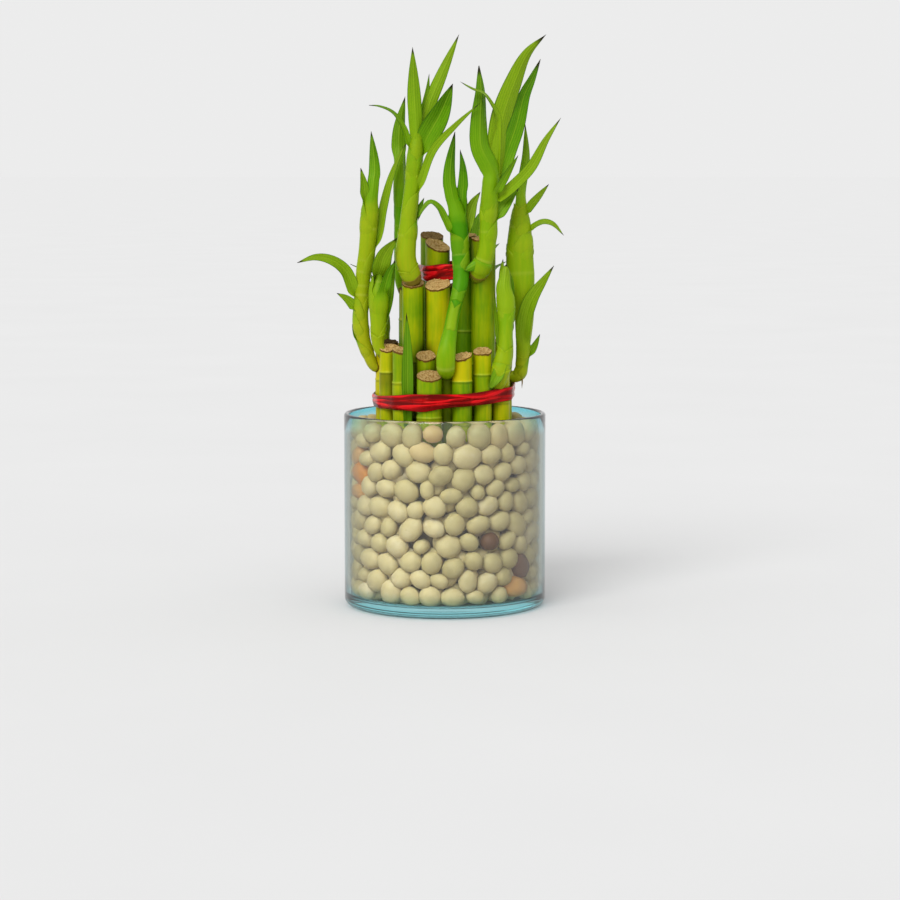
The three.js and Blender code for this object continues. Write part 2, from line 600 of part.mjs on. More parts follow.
// The pebbles against the glass, in relief: staggered rows of six-sided stones. Each has a crown
// point, a shoulder round it, and a corner in the valley where three stones meet.
function stoneWallSolid(rows, random) {
  const { perRow, pitch, crown, shoulder, valley, shoulderShare } = STONES;
  const points = [];
  const faces = [];
  const spread = (amount) => amount * (2 * random() - 1);
  const addPoint = (column, z, radius) => {
    const angle = (2 * Math.PI * column) / perRow;
    points.push(new THREE.Vector3(radius * Math.cos(angle), radius * Math.sin(angle), z));
    return points.length - 1;
  };
  const firstZ = VASE.floor - pitch / 3;
  // Corners come in one zigzag ring per row line, with two corners to a stone.
  const corners = Array.from({ length: rows + 1 }, (_, line) => Array.from({ length: 2 * perRow }, (_, k) => {
    const rise = (k + line) % 2 === 0 ? -pitch / 6 : pitch / 6;
    return {
      column: k / 2 + spread(STONE_JITTER.sideways),
      z: firstZ + line * pitch + rise + spread(STONE_JITTER.upright),
    };
  }));
  const cornerIndex = corners.map((line) => line.map(({ column, z }) => addPoint(column, z, valley)));
  for (let row = 0; row < rows; row += 1) {
    for (let i = 0; i < perRow; i += 1) {
      const k = 2 * i + (row % 2);
      const places = [[row, k], [row, k + 1], [row, k + 2], [row + 1, k + 2], [row + 1, k + 1], [row + 1, k]];
      const around = places.map(([line, column]) => ({
        index: cornerIndex[line][column % (2 * perRow)],
        column: corners[line][column % (2 * perRow)].column + (column >= 2 * perRow ? perRow : 0),
        z: corners[line][column % (2 * perRow)].z,
      }));
      const middle = {
        column: around.reduce((sum, corner) => sum + corner.column, 0) / 6,
        z: around.reduce((sum, corner) => sum + corner.z, 0) / 6,
      };
      const depth = spread(STONE_JITTER.depth) - STONE_JITTER.depth;
      const crownIndex = addPoint(middle.column, middle.z, crown + depth);
      const shoulders = around.map((corner) => addPoint(
        middle.column + shoulderShare * (corner.column - middle.column),
        middle.z + shoulderShare * (corner.z - middle.z),
        shoulder + depth,
      ));
      for (let j = 0; j < 6; j += 1) {
        const n = (j + 1) % 6;
        faces.push(crownIndex, shoulders[j], shoulders[n]);
        faces.push(shoulders[j], around[j].index, around[n].index);
        faces.push(shoulders[j], around[n].index, shoulders[n]);
      }
    }
  }
  const foot = points.push(new THREE.Vector3(0, 0, firstZ)) - 1;
  const head = points.push(new THREE.Vector3(0, 0, firstZ + rows * pitch)) - 1;
  for (let k = 0; k < 2 * perRow; k += 1) {
    const n = (k + 1) % (2 * perRow);
    faces.push(foot, cornerIndex[0][n], cornerIndex[0][k]);
    faces.push(head, cornerIndex[rows][k], cornerIndex[rows][n]);
  }
  return toSolid(turnOutward(meshFrom(points, faces)));
}

// One loose pebble of the top layer: a coarse egg shape, turned about the line from the axis.
function topStoneSolid(angle, radius, z, turn) {
  const stone = new THREE.IcosahedronGeometry(1, 0);
  stone.scale(TOP_STONE.deep, TOP_STONE.across, TOP_STONE.upright);
  stone.rotateX(turn);
  stone.translate(radius, 0, z);
  stone.rotateZ(angle);
  return toSolid(stone);
}

// The pebbles: the relief wall trimmed to the inside of the vase, a layer of stones on top, and a
// plain hole for every cane.
function pebbleGeometry() {
  const random = seededSeries(4211);
  const spread = (amount) => amount * (2 * random() - 1);
  const foot = VASE.floor + GAP;
  const rows = Math.ceil((BED.top - VASE.floor) / STONES.pitch) + 1;
  const inside = new THREE.LatheGeometry([
    new THREE.Vector2(0, foot),
    new THREE.Vector2(BED.cornerRadius, foot),
    new THREE.Vector2(BED.reach, foot + BED.cornerRise),
    new THREE.Vector2(BED.reach, BED.top),
    new THREE.Vector2(0, BED.top),
  ], VASE.sides);
  inside.rotateX(Math.PI / 2);
  const wall = stoneWallSolid(rows, random).intersect(toSolid(inside));
  const top = Array.from({ length: TOP_STONES.count }, (_, i) => {
    const angle = ((i + spread(0.2)) * 2 * Math.PI) / TOP_STONES.count;
    const z = TOP_STONES.z + spread(TOP_STONES.stray);
    return topStoneSolid(angle, TOP_STONES.radius, z, spread(TOP_STONES.turn));
  });
  const holes = Object.values(CANES).map(([x, y, radius]) => {
    const hole = circle(radius + GAP, CANE_SIDES);
    const ring = (z) => hole.map(([dx, dy]) => new THREE.Vector3(x + dx, y + dy, z));
    return toSolid(skin([ring(0), ring(VASE.height + 10)]));
  });
  const bed = Manifold.union([wall, ...top]);
  return toGeometry(largestBody(bed.subtract(Manifold.union(holes))));
}

// The outline that a tight ribbon takes round the canes: the convex hull of their outlines.
function tightOutline(names) {
  const points = names.flatMap((name) => {
    const [x, y, radius] = CANES[name];
    return circle(radius + GAP + 0.05, CANE_SIDES).map(([dx, dy]) => [x + dx, y + dy]);
  });
  points.sort((p, q) => p[0] - q[0] || p[1] - q[1]);
  const turn = (o, a, b) => (a[0] - o[0]) * (b[1] - o[1]) - (a[1] - o[1]) * (b[0] - o[0]);
  const halfHull = (list) => {
    const hull = [];
    for (const point of list) {
      while (hull.length > 1 && turn(hull[hull.length - 2], hull[hull.length - 1], point) <= 0) {
        hull.pop();
      }
      hull.push(point);
    }
    return hull.slice(0, -1);
  };
  const hull = [...halfHull(points), ...halfHull([...points].reverse())];
  return hull.filter((p, i) => {
    const q = hull[(i + 1) % hull.length];
    return Math.hypot(p[0] - q[0], p[1] - q[1]) > 0.6;
  });
}

// A satin ribbon wound round the canes three times: a closed band with three strands in relief.
function ribbonGeometry(names, { z, height, slopeX, slopeY }) {
  const outline = tightOutline(names);
  const t = RIBBON_THICKNESS;
  const section = [
    [0, -0.5], [0.6 * t, -0.5], [t, -0.34], [0.55 * t, -0.17], [t, 0],
    [0.55 * t, 0.17], [t, 0.34], [0.6 * t, 0.5], [0, 0.5],
  ];
  const count = outline.length;
  const rings = outline.map(([x, y], i) => {
    const before = outline[(i + count - 1) % count];
    const after = outline[(i + 1) % count];
    const along = new THREE.Vector2(after[0] - before[0], after[1] - before[1]).normalize();
    const level = z + slopeX * x + slopeY * y;
    return section.map(([out, lift]) => new THREE.Vector3(
      x + along.y * out,
      y - along.x * out,
      level + lift * height,
    ));
  });
  return turnOutward(closedLoop(rings));
}

function closedLoop(rings) {
  const sides = rings[0].length;
  const faces = [];
  for (let i = 0; i < rings.length; i += 1) {
    const next = (i + 1) % rings.length;
    for (let j = 0; j < sides; j += 1) {
      const a = i * sides + j;
      const b = i * sides + ((j + 1) % sides);
      const c = next * sides + ((j + 1) % sides);
      const d = next * sides + j;
      faces.push(a, b, c, a, c, d);
    }
  }
  return meshFrom(rings.flat(), faces);
}

// ---- the object --------------------------------------------------------------------------------

const glass = new THREE.MeshStandardMaterial({
  color: GLASS_BLUE, roughness: 0.03, metalness: 0, transparent: true, opacity: 0.3,
});
const pebbleStone = new THREE.MeshStandardMaterial({ color: STONE_CREAM, roughness: 0.75, metalness: 0 });
const bareCane = new THREE.MeshStandardMaterial({ color: CANE_GREEN, roughness: 0.5, metalness: 0 });
const leafyCane = new THREE.MeshStandardMaterial({ color: LEAF_GREEN, roughness: 0.45, metalness: 0 });
const satin = new THREE.MeshStandardMaterial({ color: RIBBON_RED, roughness: 0.3, metalness: 0 });

const plant = new THREE.Group();

function addPiece(parent, name, geometry, material) {
  const mesh = new THREE.Mesh(geometry, material);
  mesh.name = name;
  parent.add(mesh);
}

addPiece(plant, 'vase', vaseGeometry(), glass);
addPiece(plant, 'pebbles', pebbleGeometry(), pebbleStone);

const bundle = new THREE.Group();
for (const name of Object.keys(CANES)) {
  if (name in SHOOTS) {
    addPiece(bundle, `leafy_cane_${name}`, caneGeometry(name), leafyCane);
  } else {
    addPiece(bundle, `cane_${name}`, caneGeometry(name), bareCane);
  }
}
addPiece(bundle, 'ribbon_lower', ribbonGeometry(Object.keys(CANES), LOWER_RIBBON), satin);
addPiece(bundle, 'ribbon_upper', ribbonGeometry(UPPER_RIBBON_CANES, UPPER_RIBBON), satin);
plant.add(bundle);

export default plant;
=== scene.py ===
import functools
import math
import bpy
import numpy as np
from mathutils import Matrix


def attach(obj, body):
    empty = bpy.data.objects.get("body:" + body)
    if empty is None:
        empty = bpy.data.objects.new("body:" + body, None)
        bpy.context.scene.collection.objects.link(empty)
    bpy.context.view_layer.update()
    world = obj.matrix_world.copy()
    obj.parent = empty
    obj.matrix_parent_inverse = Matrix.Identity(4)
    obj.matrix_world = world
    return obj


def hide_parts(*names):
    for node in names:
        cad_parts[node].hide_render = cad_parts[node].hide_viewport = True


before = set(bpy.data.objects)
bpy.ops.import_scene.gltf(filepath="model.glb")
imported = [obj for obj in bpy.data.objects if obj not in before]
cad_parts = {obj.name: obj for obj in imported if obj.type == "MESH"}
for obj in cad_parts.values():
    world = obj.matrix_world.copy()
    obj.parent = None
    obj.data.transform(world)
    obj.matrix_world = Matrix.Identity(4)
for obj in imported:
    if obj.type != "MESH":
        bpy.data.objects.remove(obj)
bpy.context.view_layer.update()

# Lengths below are millimetres, in the frame of the CAD model: X right, Y back, Z up, foot at Z = 0.
# One factor turns them to metres where a mesh is made.
MM = 0.001
TURN = 2 * np.pi
scene = bpy.context.scene


def put(name, data):
    """A new object in the scene, with the mesh, lamp or camera that it shows."""
    made = bpy.data.objects.new(name, data)
    scene.collection.objects.link(made)
    return made


# ---- camera ----
TILT = 6.24  # degrees, how far the camera looks down
lens = bpy.data.cameras.new("camera")
lens.sensor_width = 36.0
lens.lens = 103.28
camera = put("camera", lens)
camera.location = (0.0026, -1.276, 0.2166)
camera.rotation_euler = (math.radians(90 - TILT), 0, 0)
scene.camera = camera

# ---- sizes that the CAD model has too ----
VASE = dict(radius=50, height=96, wall=2.6, floor=5, foot_corner=4, inner_corner=2.4)
# How much a saw cut rises to the back for each millimetre, where CUTS doesn't say.
CUT_SLANT = 0.16
# Rings on a cane: how far they stand proud, how far apart they are, and the first one below the cut.
NODE = dict(proud=0.1, spacing=31, first=16)
# Each cane's place in x and y, its radius and the height of its cut.
CANES = {
    "low_left": (-29.6, -3.0, 4.7, 128.9), "low_left_front": (-27.4, -13.6, 4.7, 129.4),
    "low_front_left": (-20.6, -21.6, 5.0, 128.8), "low_front": (-7.4, -29.6, 6.2, 116.6),
    "low_front_inner": (-9.2, -17.8, 4.9, 126.4), "low_front_slim": (1.2, -21.2, 4.5, 117.0),
    "low_front_right": (8.4, -28.2, 4.9, 126.4), "low_right_front": (18.4, -23.0, 4.7, 128.6),
    "low_right_outer": (27.4, -17.0, 4.5, 119.0), "low_right": (28.6, 0.4, 4.7, 119.0),
    "low_left_back": (-28.1, 8.6, 4.9, 130.6), "mid_left": (-15.6, -8.6, 5.6, 161.4),
    "mid_front": (-3.4, -6.8, 6.3, 160.2), "mid_left_back": (-17.2, 3.6, 5.6, 158.0),
    "mid_right_back": (13.6, 13.6, 5.3, 158.0), "mid_back": (4.4, 19.4, 4.6, 158.0),
    "top_front": (-3.5, 6.2, 6.2, 179.0), "top_back": (-6.4, 18.4, 5.9, 183.2),
    "top_middle": (9.8, 2.0, 6.0, 183.6), "top_right": (19.0, -8.8, 6.1, 182.4),
}
for i in range(7):
    bearing = math.radians(145 - 21 * i)
    CANES[f"back_{i + 1}"] = (
        29 * math.cos(bearing), 1.6 + 29 * math.sin(bearing), 5, 128 + 3 * math.sin(2.4 * i))

# Heights of the node rings that show in front, where they aren't at the usual spacing.
NODE_HEIGHTS = {
    "low_front_right": (114.0, 92.5), "low_front_left": (112.8, 90), "low_left_front": (117.4, 92),
    "low_right_front": (117.0, 90.5), "low_front": (96.5,), "mid_front": (118,), "mid_left": (122, 95),
    "top_right": (121, 95),
}
# Saw cuts that the photograph shows clearly: height of the middle, and the rise to the right and to
# the back for each millimetre.
CUTS = {
    "low_front_inner": (125.4, 0.0, 0.45), "low_front": (116.6, 0.0, 0.35),
    "low_front_right": (125.9, 0.2, 0.3), "low_right_front": (128.0, 0.05, 0.33),
    "low_left_front": (129.1, 0.05, 0.33), "low_front_left": (128.4, -0.17, 0.28),
    "mid_left": (160.6, 0.0, 0.35), "mid_front": (159.8, 0.12, 0.42), "top_front": (178.6, -0.3, 0.4),
    "top_back": (183.0, -0.1, 0.3), "low_left_back": (130.4, 0.0, 0.2),
}
# How yellow each length between rings is, from the cut downwards: 0 green, 1 straw yellow.
YELLOWNESS = {
    "low_left": (0.8, 0.78, 0.7), "low_left_front": (0.78, 0.66, 0.6), "low_front_left": (0.44, 0.56, 0.6),
    "low_front": (0.42, 0.52, 0.6), "low_front_inner": (0.44, 0.44), "low_front_right": (0.84, 0.36, 0.62),
    "low_right_front": (0.68, 0.52, 0.66), "low_right_outer": (0.68, 0.64, 0.66),
    "mid_front": (0.7, 0.6, 0.5), "mid_left": (0.45, 0.42), "top_front": (0.54, 0.54, 0.5),
    "top_back": (0.4, 0.42), "top_middle": (0.3, 0.3, 0.3), "top_right": (0.42, 0.36, 0.38, 0.42),
}

# Shoots: stem stations are (x, y, z, half width, half depth); a leaf is (width, the way its upper
# face looks, the line of its midrib from the stem to the tip).
FRONT, FRONT_UP, UP = (0, -1, 0.1), (0, -1, 0.35), (0, -0.6, 0.8)
LEFT, RIGHT, BACK_UP = (-0.3, -1, 0.1), (0.35, -1, 0), (0, 1, 0.5)
SHOOTS = {
    "low_left": dict(stem=[
        (-30, -3.5, 118.6, 2.5, 2.4), (-34.4, -4.5, 119.1, 2.7, 2.6), (-39, -5.5, 129.6, 3.1, 2.6),
        (-41, -6, 138.5, 3.7, 2.7), (-40.9, -6, 151.8, 3.4, 2.6), (-40, -6, 164.1, 3.7, 2.6),
        (-38.2, -6, 176.5, 4.0, 2.7), (-37.0, -6, 190.2, 4.2, 2.7), (-36.5, -6, 199.5, 3.9, 2.5),
        (-36.2, -6, 207, 2.6, 1.9),
    ], leaves=[
        (6.2, (0, -0.9, 0.5), [(-42, -6, 150.5), (-44.5, -7, 156), (-48.5, -9, 166), (-55.5, -12, 171.5),
            (-63, -14, 173), (-72, -16, 170.5)]),
        (5.2, FRONT_UP, [(-41, -6, 141), (-44, -7, 148), (-48, -8, 152.5), (-53, -9, 155.5)]),
        (2.4, FRONT, [(-41.5, -5, 129.5), (-44, -5.5, 134), (-45.5, -6, 140)]),
        (5.8, FRONT, [(-36.2, -8.6, 196), (-34.9, -8.4, 206), (-34.3, -6.5, 216), (-36, -4, 234.5)]),
        (5.4, RIGHT, [(-38.4, -7.6, 191), (-38.9, -8, 200), (-39.4, -8.3, 208), (-41, -8.5, 216.5)]),
        (4.4, LEFT, [(-37, -5, 173.5), (-32.5, -4.5, 183), (-30, -4, 197), (-26, -3.5, 212.5),
            (-21, -3, 224.5), (-18, -2.5, 229.5)]),
        (4.4, BACK_UP, [(-40.5, -4.5, 153), (-39.5, 4, 170), (-39.5, 12, 181), (-39.5, 20, 185.5)]),
    ]),
    "low_left_front": dict(stem=[
        (-29.8, -12, 124.6, 2.5, 2.4), (-32.5, -12, 130, 2.8, 2.8), (-32.5, -12, 141.3, 3.9, 3.2),
        (-32.4, -12, 149.6, 4.5, 3.4), (-32.3, -12, 158.5, 4.4, 3), (-31.8, -12, 165.8, 2.9, 2.2),
    ], leaves=[
        (9.8, RIGHT, [(-32.5, -12.5, 153.5), (-32, -14.5, 164), (-29.5, -17, 174), (-23, -19.5, 183)]),
        (5.4, FRONT, [(-31, -10.5, 139), (-28.5, -8, 149.5), (-26.5, -6.5, 161.5), (-24.5, -6, 172)]),
        (5, RIGHT, [(-31, -14, 152), (-29, -16, 159.5), (-27, -17, 166), (-24, -18, 171.5)]),
    ]),
    "low_front_left": dict(stem=[
    ], leaves=[
        (5.8, FRONT, [(-18, -25.5, 90.5), (-18, -26.5, 99.5), (-18, -28, 115), (-18, -28.5, 132.5),
            (-18.5, -28, 147)]),
    ]),
    "mid_left_back": dict(stem=[
        (-18.6, 3.6, 150.5, 2.2, 2.6), (-22, 3.4, 160.5, 2.5, 2.6), (-22.5, 3.2, 172.2, 2.5, 2.6),
        (-22.4, 3.2, 193.5, 2.5, 2.4), (-22.5, 3.6, 213.4, 2.6, 2.2), (-22.5, 4, 220.9, 2.2, 1.8),
    ], leaves=[
        (7.4, FRONT, [(-22.5, 3.5, 206), (-22.5, 4, 220), (-22.5, 5, 235.5), (-19.5, 6, 251.5)]),
        (5.4, BACK_UP, [(-22, 4, 198.5), (-22, 10, 215), (-21, 17, 228.5), (-19.5, 22, 235)]),
        (5.4, BACK_UP, [(-22, 5, 188.5), (-18, 11, 203.5), (-15.5, 18, 215)]),
    ]),
    "mid_left": dict(stem=[
        (-14.6, -9.5, 160.8, 3.4, 3.4), (-16.4, -12, 164.2, 4.7, 4.0), (-19, -13, 172.4, 5.1, 4.3),
        (-18.2, -13, 184, 4.5, 3.8), (-17.4, -13, 196.3, 3.7, 3.3), (-15.3, -13, 212.5, 3.6, 3.1),
        (-14.1, -13, 225.7, 3.3, 2.9), (-13.5, -13, 231.6, 2.4, 2.0),
    ], leaves=[
        (3.4, UP, [(-15.5, -13.5, 221), (-17.5, -14.5, 228.5), (-20, -16, 236), (-25, -18, 243),
            (-31.5, -20, 246), (-36.5, -21, 246.5)]),
        (6.8, FRONT, [(-13.6, -15.7, 228.5), (-14.2, -15.8, 240.5), (-14.9, -15.7, 253),
            (-15.5, -16, 274.5)]),
        (6.6, LEFT, [(-12.5, -11.5, 230.5), (-7.5, -10, 247.5), (-1.5, -9, 262), (7, -8, 281)]),
        (3, FRONT, [(-12.5, -11, 234), (-11, -9.5, 241.5), (-8.5, -8, 253), (-7.5, -7.5, 262)]),
        (11.2, (0.2, -1, 0.2), [(-12.4, -12.2, 220.5), (-9.4, -13.2, 229.5), (-2.2, -15.5, 242.5),
            (4, -18, 257)]),
        (4, FRONT_UP, [(-14.5, -13.5, 201), (-11, -15.5, 211), (-5.5, -18, 225), (5, -22, 236.5),
            (17, -26, 247.5)]),
        (3.4, FRONT, [(-15.5, -12, 188.5), (-12.5, -11.5, 196.5), (-10, -11, 202)]),
        (5, BACK_UP, [(-14.5, -12, 217), (-14, -3, 232), (-14, 4, 240)]),
    ]),
    "low_front_slim": dict(stem=[
        (1.2, -22.5, 115.4, 2.6, 2), (1.0, -28.5, 117.4, 3.6, 2.8), (0.6, -33.6, 120.0, 4.4, 3.2),
        (0.6, -35, 124.8, 4.6, 2.9), (1.3, -34.2, 130.6, 4.2, 2.8), (2.8, -30, 138.5, 3.4, 3),
        (4, -25.5, 145.5, 3.2, 3), (6, -20, 153.5, 3.3, 3), (7.7, -17, 160.7, 3.8, 3.2),
        (8.1, -15.5, 167, 4, 3.3), (7.7, -14.5, 173.8, 4, 3.3), (7.2, -14, 183.6, 4.2, 3.1),
        (6, -14, 193.9, 4.4, 2.8), (6, -14, 201.2, 3.9, 2.2),
    ], leaves=[
        (6.6, RIGHT, [(4.5, -15, 191.5), (3, -16, 203.5), (2.5, -16.5, 215), (5, -17, 234)]),
        (5.4, LEFT, [(8.5, -13, 190.5), (9, -12.5, 203.5), (9, -12.5, 216), (7.5, -12.5, 225.5)]),
        (4, UP, [(4, -16, 182.5), (0.5, -17, 191), (-3, -18, 197.5), (-7, -18.5, 200), (-11, -19, 196),
            (-13, -19.5, 191)]),
        (6.4, FRONT, [(9, -12, 181.5), (12, -11, 193.5), (14, -10, 199.5), (17.5, -9.5, 205)]),
        (5, BACK_UP, [(8, -12.5, 174), (9, -5, 190), (9.5, 2, 203), (9.5, 8, 210)]),
    ]),
    "top_right": dict(stem=[
        (15.6, -11, 162.6, 2.8, 3.2), (17, -15.2, 166.6, 4.5, 3.9), (19.6, -17.3, 173, 4.3, 3.9),
        (20.9, -18, 180.7, 4.1, 3.6), (21, -18, 190.5, 4, 3.5), (21.7, -18, 201.3, 3.9, 3.4),
        (22.4, -18, 210.5, 3.8, 3),
    ], leaves=[
        (9.6, RIGHT, [(24, -19, 206), (22.5, -20.5, 216), (17.5, -21.5, 226.5), (17, -22, 239.5),
            (17.5, -21.5, 252.5), (16.5, -20.5, 265.5)]),
        (3.4, UP, [(26, -18, 236), (25.5, -19, 240.5), (22.5, -22, 247), (18.5, -25, 252), (13.5, -27, 254),
            (7.5, -28.5, 257.5)]),
        (10.8, RIGHT, [(24, -17, 207.5), (25.5, -17.5, 223), (27.5, -18, 239.5), (33.5, -18, 257.5),
            (40, -18, 271.5), (49, -18, 280.5)]),
        (8.8, RIGHT, [(24, -16.5, 204), (26, -15, 211), (29, -14, 221), (34.5, -13, 236.5),
            (38.5, -12, 251.5), (42, -11.5, 259), (46.5, -11, 269)]),
        (4.4, FRONT, [(17.6, -18.6, 170.5), (14, -19.6, 169), (9.6, -20, 166.6)]),
        (4, RIGHT, [(23.5, -20, 201.5), (27.5, -21.5, 209), (31.5, -22.5, 216), (35.5, -23, 222.5)]),
        (5.4, LEFT, [(22.5, -16, 199), (27.5, -17.5, 203), (33, -19.5, 207.5), (42, -22, 217),
            (49, -23, 230), (56, -23, 240.5)]),
        (7.4, FRONT, [(21.5, -17.5, 187.5), (27, -16, 196.5), (31.5, -14.5, 202), (36, -13, 206.5)]),
        (5, BACK_UP, [(22, -15.5, 198), (23, -6, 215), (23, 2, 226), (22.5, 8, 231)]),
    ]),
    "low_right": dict(stem=[
        (30.8, -0.5, 113.9, 2.7, 2.8), (36.3, -1.5, 114.4, 3.1, 3), (38.1, -2, 120.9, 2.8, 2.8),
        (38.7, -2.5, 129.4, 3.5, 3), (39.2, -2.5, 141.7, 4.6, 3.4), (39.2, -2.5, 151.6, 5.1, 3.6),
        (37.5, -2.5, 161, 6.8, 3.8), (37, -2.5, 170.4, 6.8, 3.8), (36.9, -2.5, 180.3, 6.2, 3.5),
        (36.9, -2.5, 190.2, 4.8, 3), (36.9, -2.5, 196.6, 3.5, 2.4), (37, -2.5, 201.1, 2.7, 2),
    ], leaves=[
        (5, RIGHT, [(37, -2, 196), (38, -1.5, 207), (40, -1, 222), (39.5, 0, 238)]),
        (4.4, LEFT, [(37.5, -3, 190), (41.5, -3.5, 197), (46, -4, 202.5), (51, -4.5, 208.5)]),
        (4, UP, [(39.5, -3, 182.5), (43.5, -3.5, 187.5), (48.5, -4, 190), (53, -4.5, 189),
            (58.5, -5, 183.5)]),
        (7.8, LEFT, [(38, -4, 127), (38.5, -6.5, 135), (39.5, -7.5, 143), (43, -8.5, 153),
            (48.5, -9.5, 161.5), (53.5, -10.5, 169)]),
        (4, FRONT, [(38.5, -2, 119), (41.5, -2.5, 124.5), (44.5, -3, 129.5), (47, -3.5, 135)]),
        (4.4, BACK_UP, [(37.5, 0, 178.5), (38, 7, 193.5), (38, 15, 203), (38, 21, 206)]),
    ]),
    "low_right_outer": dict(stem=[
        (26, -18, 109.8, 2.4, 2.4), (25.8, -23.5, 112.4, 3.6, 2.6), (27, -24.8, 117.2, 4.2, 3),
        (28.2, -24, 123.1, 4.3, 3.2), (29.4, -22.8, 129.9, 3.6, 3.2), (29.8, -21.5, 140.4, 3.5, 3),
        (29.8, -20, 151, 4.3, 3), (28.9, -19.5, 158.3, 3.8, 2.6), (29.4, -19, 163.7, 2.7, 2),
    ], leaves=[
        (5.8, FRONT, [(28, -26, 121), (26, -27.5, 117), (23.5, -28.4, 112.6), (21.8, -28.4, 109.6)]),
        (7.4, FRONT, [(29.5, -20.5, 152.5), (29, -20.5, 159), (29, -20, 164), (30, -19, 170)]),
        (5.8, RIGHT, [(31, -19, 146.5), (31.5, -18, 155), (31.5, -17, 162), (30, -15, 168)]),
        (4.4, FRONT, [(29.5, -18, 149), (28.5, -14.5, 160.5), (28, -13.5, 167), (28.5, -13, 172.5)]),
        (2.6, RIGHT, [(27.5, -17, 116), (26.5, -17, 130), (25, -16, 143.5), (24.5, -15, 156.5)]),
    ]),
}
# The leaves, by their order in a shoot, that turn their keel and not their hollow side to the way
# they look.
KEEL_IN_FRONT = {
    "low_left": (3,), "mid_left_back": (0,), "mid_left": (1, 2), "low_front_slim": (0,),
    "top_right": (0, 2, 4), "low_right": (0,), "low_right_outer": (1,),
}
# Rests of sheaths: from and to which height, how far round the front in radians, how deep the notch in
# the upper edge, how pale and how dry.
HUSKS = {
    "low_front_slim": ((137, 151, 0.9, 5, 1.0), (151, 158, 1.3, 3.5, 0.5)),
    "low_right": ((192, 199.5, 1.4, 2.5, 0.8), (119, 125, 1.6, 1.5, 0.4)),
    "low_right_outer": ((111, 121, 1.9, 4, 0.6), (121, 131, 1.5, 4, 0.3)),
    "low_left_front": ((126, 137, 1.5, 3, 0.4),),
    "top_right": ((163, 171, 1.7, 3, 0.6), (163.4, 166.2, 1.9, 1, 0.5, 0.8)),
    "mid_left": ((163, 169, 1.7, 3, 0.6), (161.6, 164.4, 1.9, 1, 0.5, 0.8)),
}
# Dry roots that hang from a shoot's foot: the line of each.
ROOTS = {"low_right": ([(37.6, -3, 115.5), (38.3, -3.4, 112), (38.1, -3.7, 108.2)],)}
# Leaves whose paleness isn't left to chance: 0 green, 1 pale.
LEAF_TONE = {
    ("low_left", 0): 0.9, ("mid_left", 2): 0.8, ("mid_left", 4): 0.2, ("low_front_slim", 0): 0.0,
    ("low_front_slim", 1): 0.0, ("top_right", 0): 0.3, ("top_right", 2): 1.0, ("top_right", 3): 0.0,
    ("top_right", 7): 0.4, ("low_right", 3): 1.0, ("low_right_outer", 0): 0.5, ("low_right_outer", 1): 1.0,
}
# Leaves folded along the midrib more than the others, and by how much.
FOLDED = {("mid_left", 4): 0.55, ("top_right", 0): 0.2, ("top_right", 7): 0.25}
# How yellow a stem is at its foot and 60 mm up, where it differs from the usual.
USUAL_YELLOW = (0.75, 0.3)
STEM_YELLOW = {
    "low_front_slim": (0.6, -0.05), "top_right": (0.6, 0.35), "mid_left": (0.75, 0.5),
    "low_left": (0.95, 0.7), "low_right": (0.8, 0.55), "mid_left_back": (0.4, 0.1),
}


def back_shoot(name, turn, foot, top, reach, rise, spread):
    """A short stem that leaves its cane on the bearing turn and climbs, with four leaves turned to
    either side in turn; the leaves nearer the top turn less and start higher."""
    x, y, radius, _ = CANES[name]
    out = math.radians(turn)
    away, height = radius + 2.8, top - foot
    # Distance from the cane's middle, height, and size, for each station of the stem.
    stations = [(0.4 * radius, foot, 0.85), (radius + 1.2, foot + 1.5, 0.95),
                (away, foot + 0.3 * height + 2, 1), (away, foot + 0.6 * height + 2, 0.95), (away, top, 0.7)]
    stem = [(x + d * math.cos(out), y + d * math.sin(out), z, 2.9 * size, 2.6 * size)
            for d, z, size in stations]
    leaves = []
    for i in range(4):
        share = (i + 1) / 4
        side = 1 if i % 2 == 0 else -1
        bearing = out + side * math.radians(spread) * (1.1 - 0.8 * share)
        base = top - 0.45 * height * (1 - share) - 2
        path = [(x + away * math.cos(out) + d * reach * math.cos(bearing),
                 y + away * math.sin(out) + d * reach * math.sin(bearing), base + climb * rise)
                for d, climb in ((0, 0), (0.16, 0.36), (0.52, 0.74), (1, 0.9))]
        leaves.append((7.5, (-0.6 * math.cos(bearing), -0.6 * math.sin(bearing), 0.8), path))
    return dict(stem=stem, leaves=leaves)


# Bearing, heights of the stem's foot and top, how far out and up the leaves reach, and their spread.
for name, *numbers in (
        ("back_1", 150, 116, 150, 17, 27, 55), ("back_3", 100, 114, 147, 18, 27, 50),
        ("back_5", 66, 115, 155, 18, 28, 42), ("back_7", 62, 112, 138, 16, 24, 34),
        ("mid_right_back", 74, 146, 178, 15, 22, 26)):
    SHOOTS[name] = back_shoot(name, *numbers)


# ---- colours and nodes ----
def linear(code):
    """An sRGB hex colour as linear red, green, blue and 1."""
    parts = [int(code[i:i + 2], 16) / 255 for i in (1, 3, 5)]
    return [c / 12.92 if c <= 0.04045 else ((c + 0.055) / 1.055) ** 2.4 for c in parts] + [1.0]


def feed(node, sockets):
    """Gives each input of a node a number, a hex colour, the output that feeds it, or by its name the
    mark on the mesh that does."""
    for name, value in sockets.items():
        if isinstance(value, str) and not value.startswith("#"):
            value = add(node.id_data, "Attribute", attribute_name=value, out="Fac")
        if isinstance(value, bpy.types.NodeSocket):
            node.id_data.links.new(value, node.inputs[name])
        else:
            node.inputs[name].default_value = linear(value) if isinstance(value, str) else value


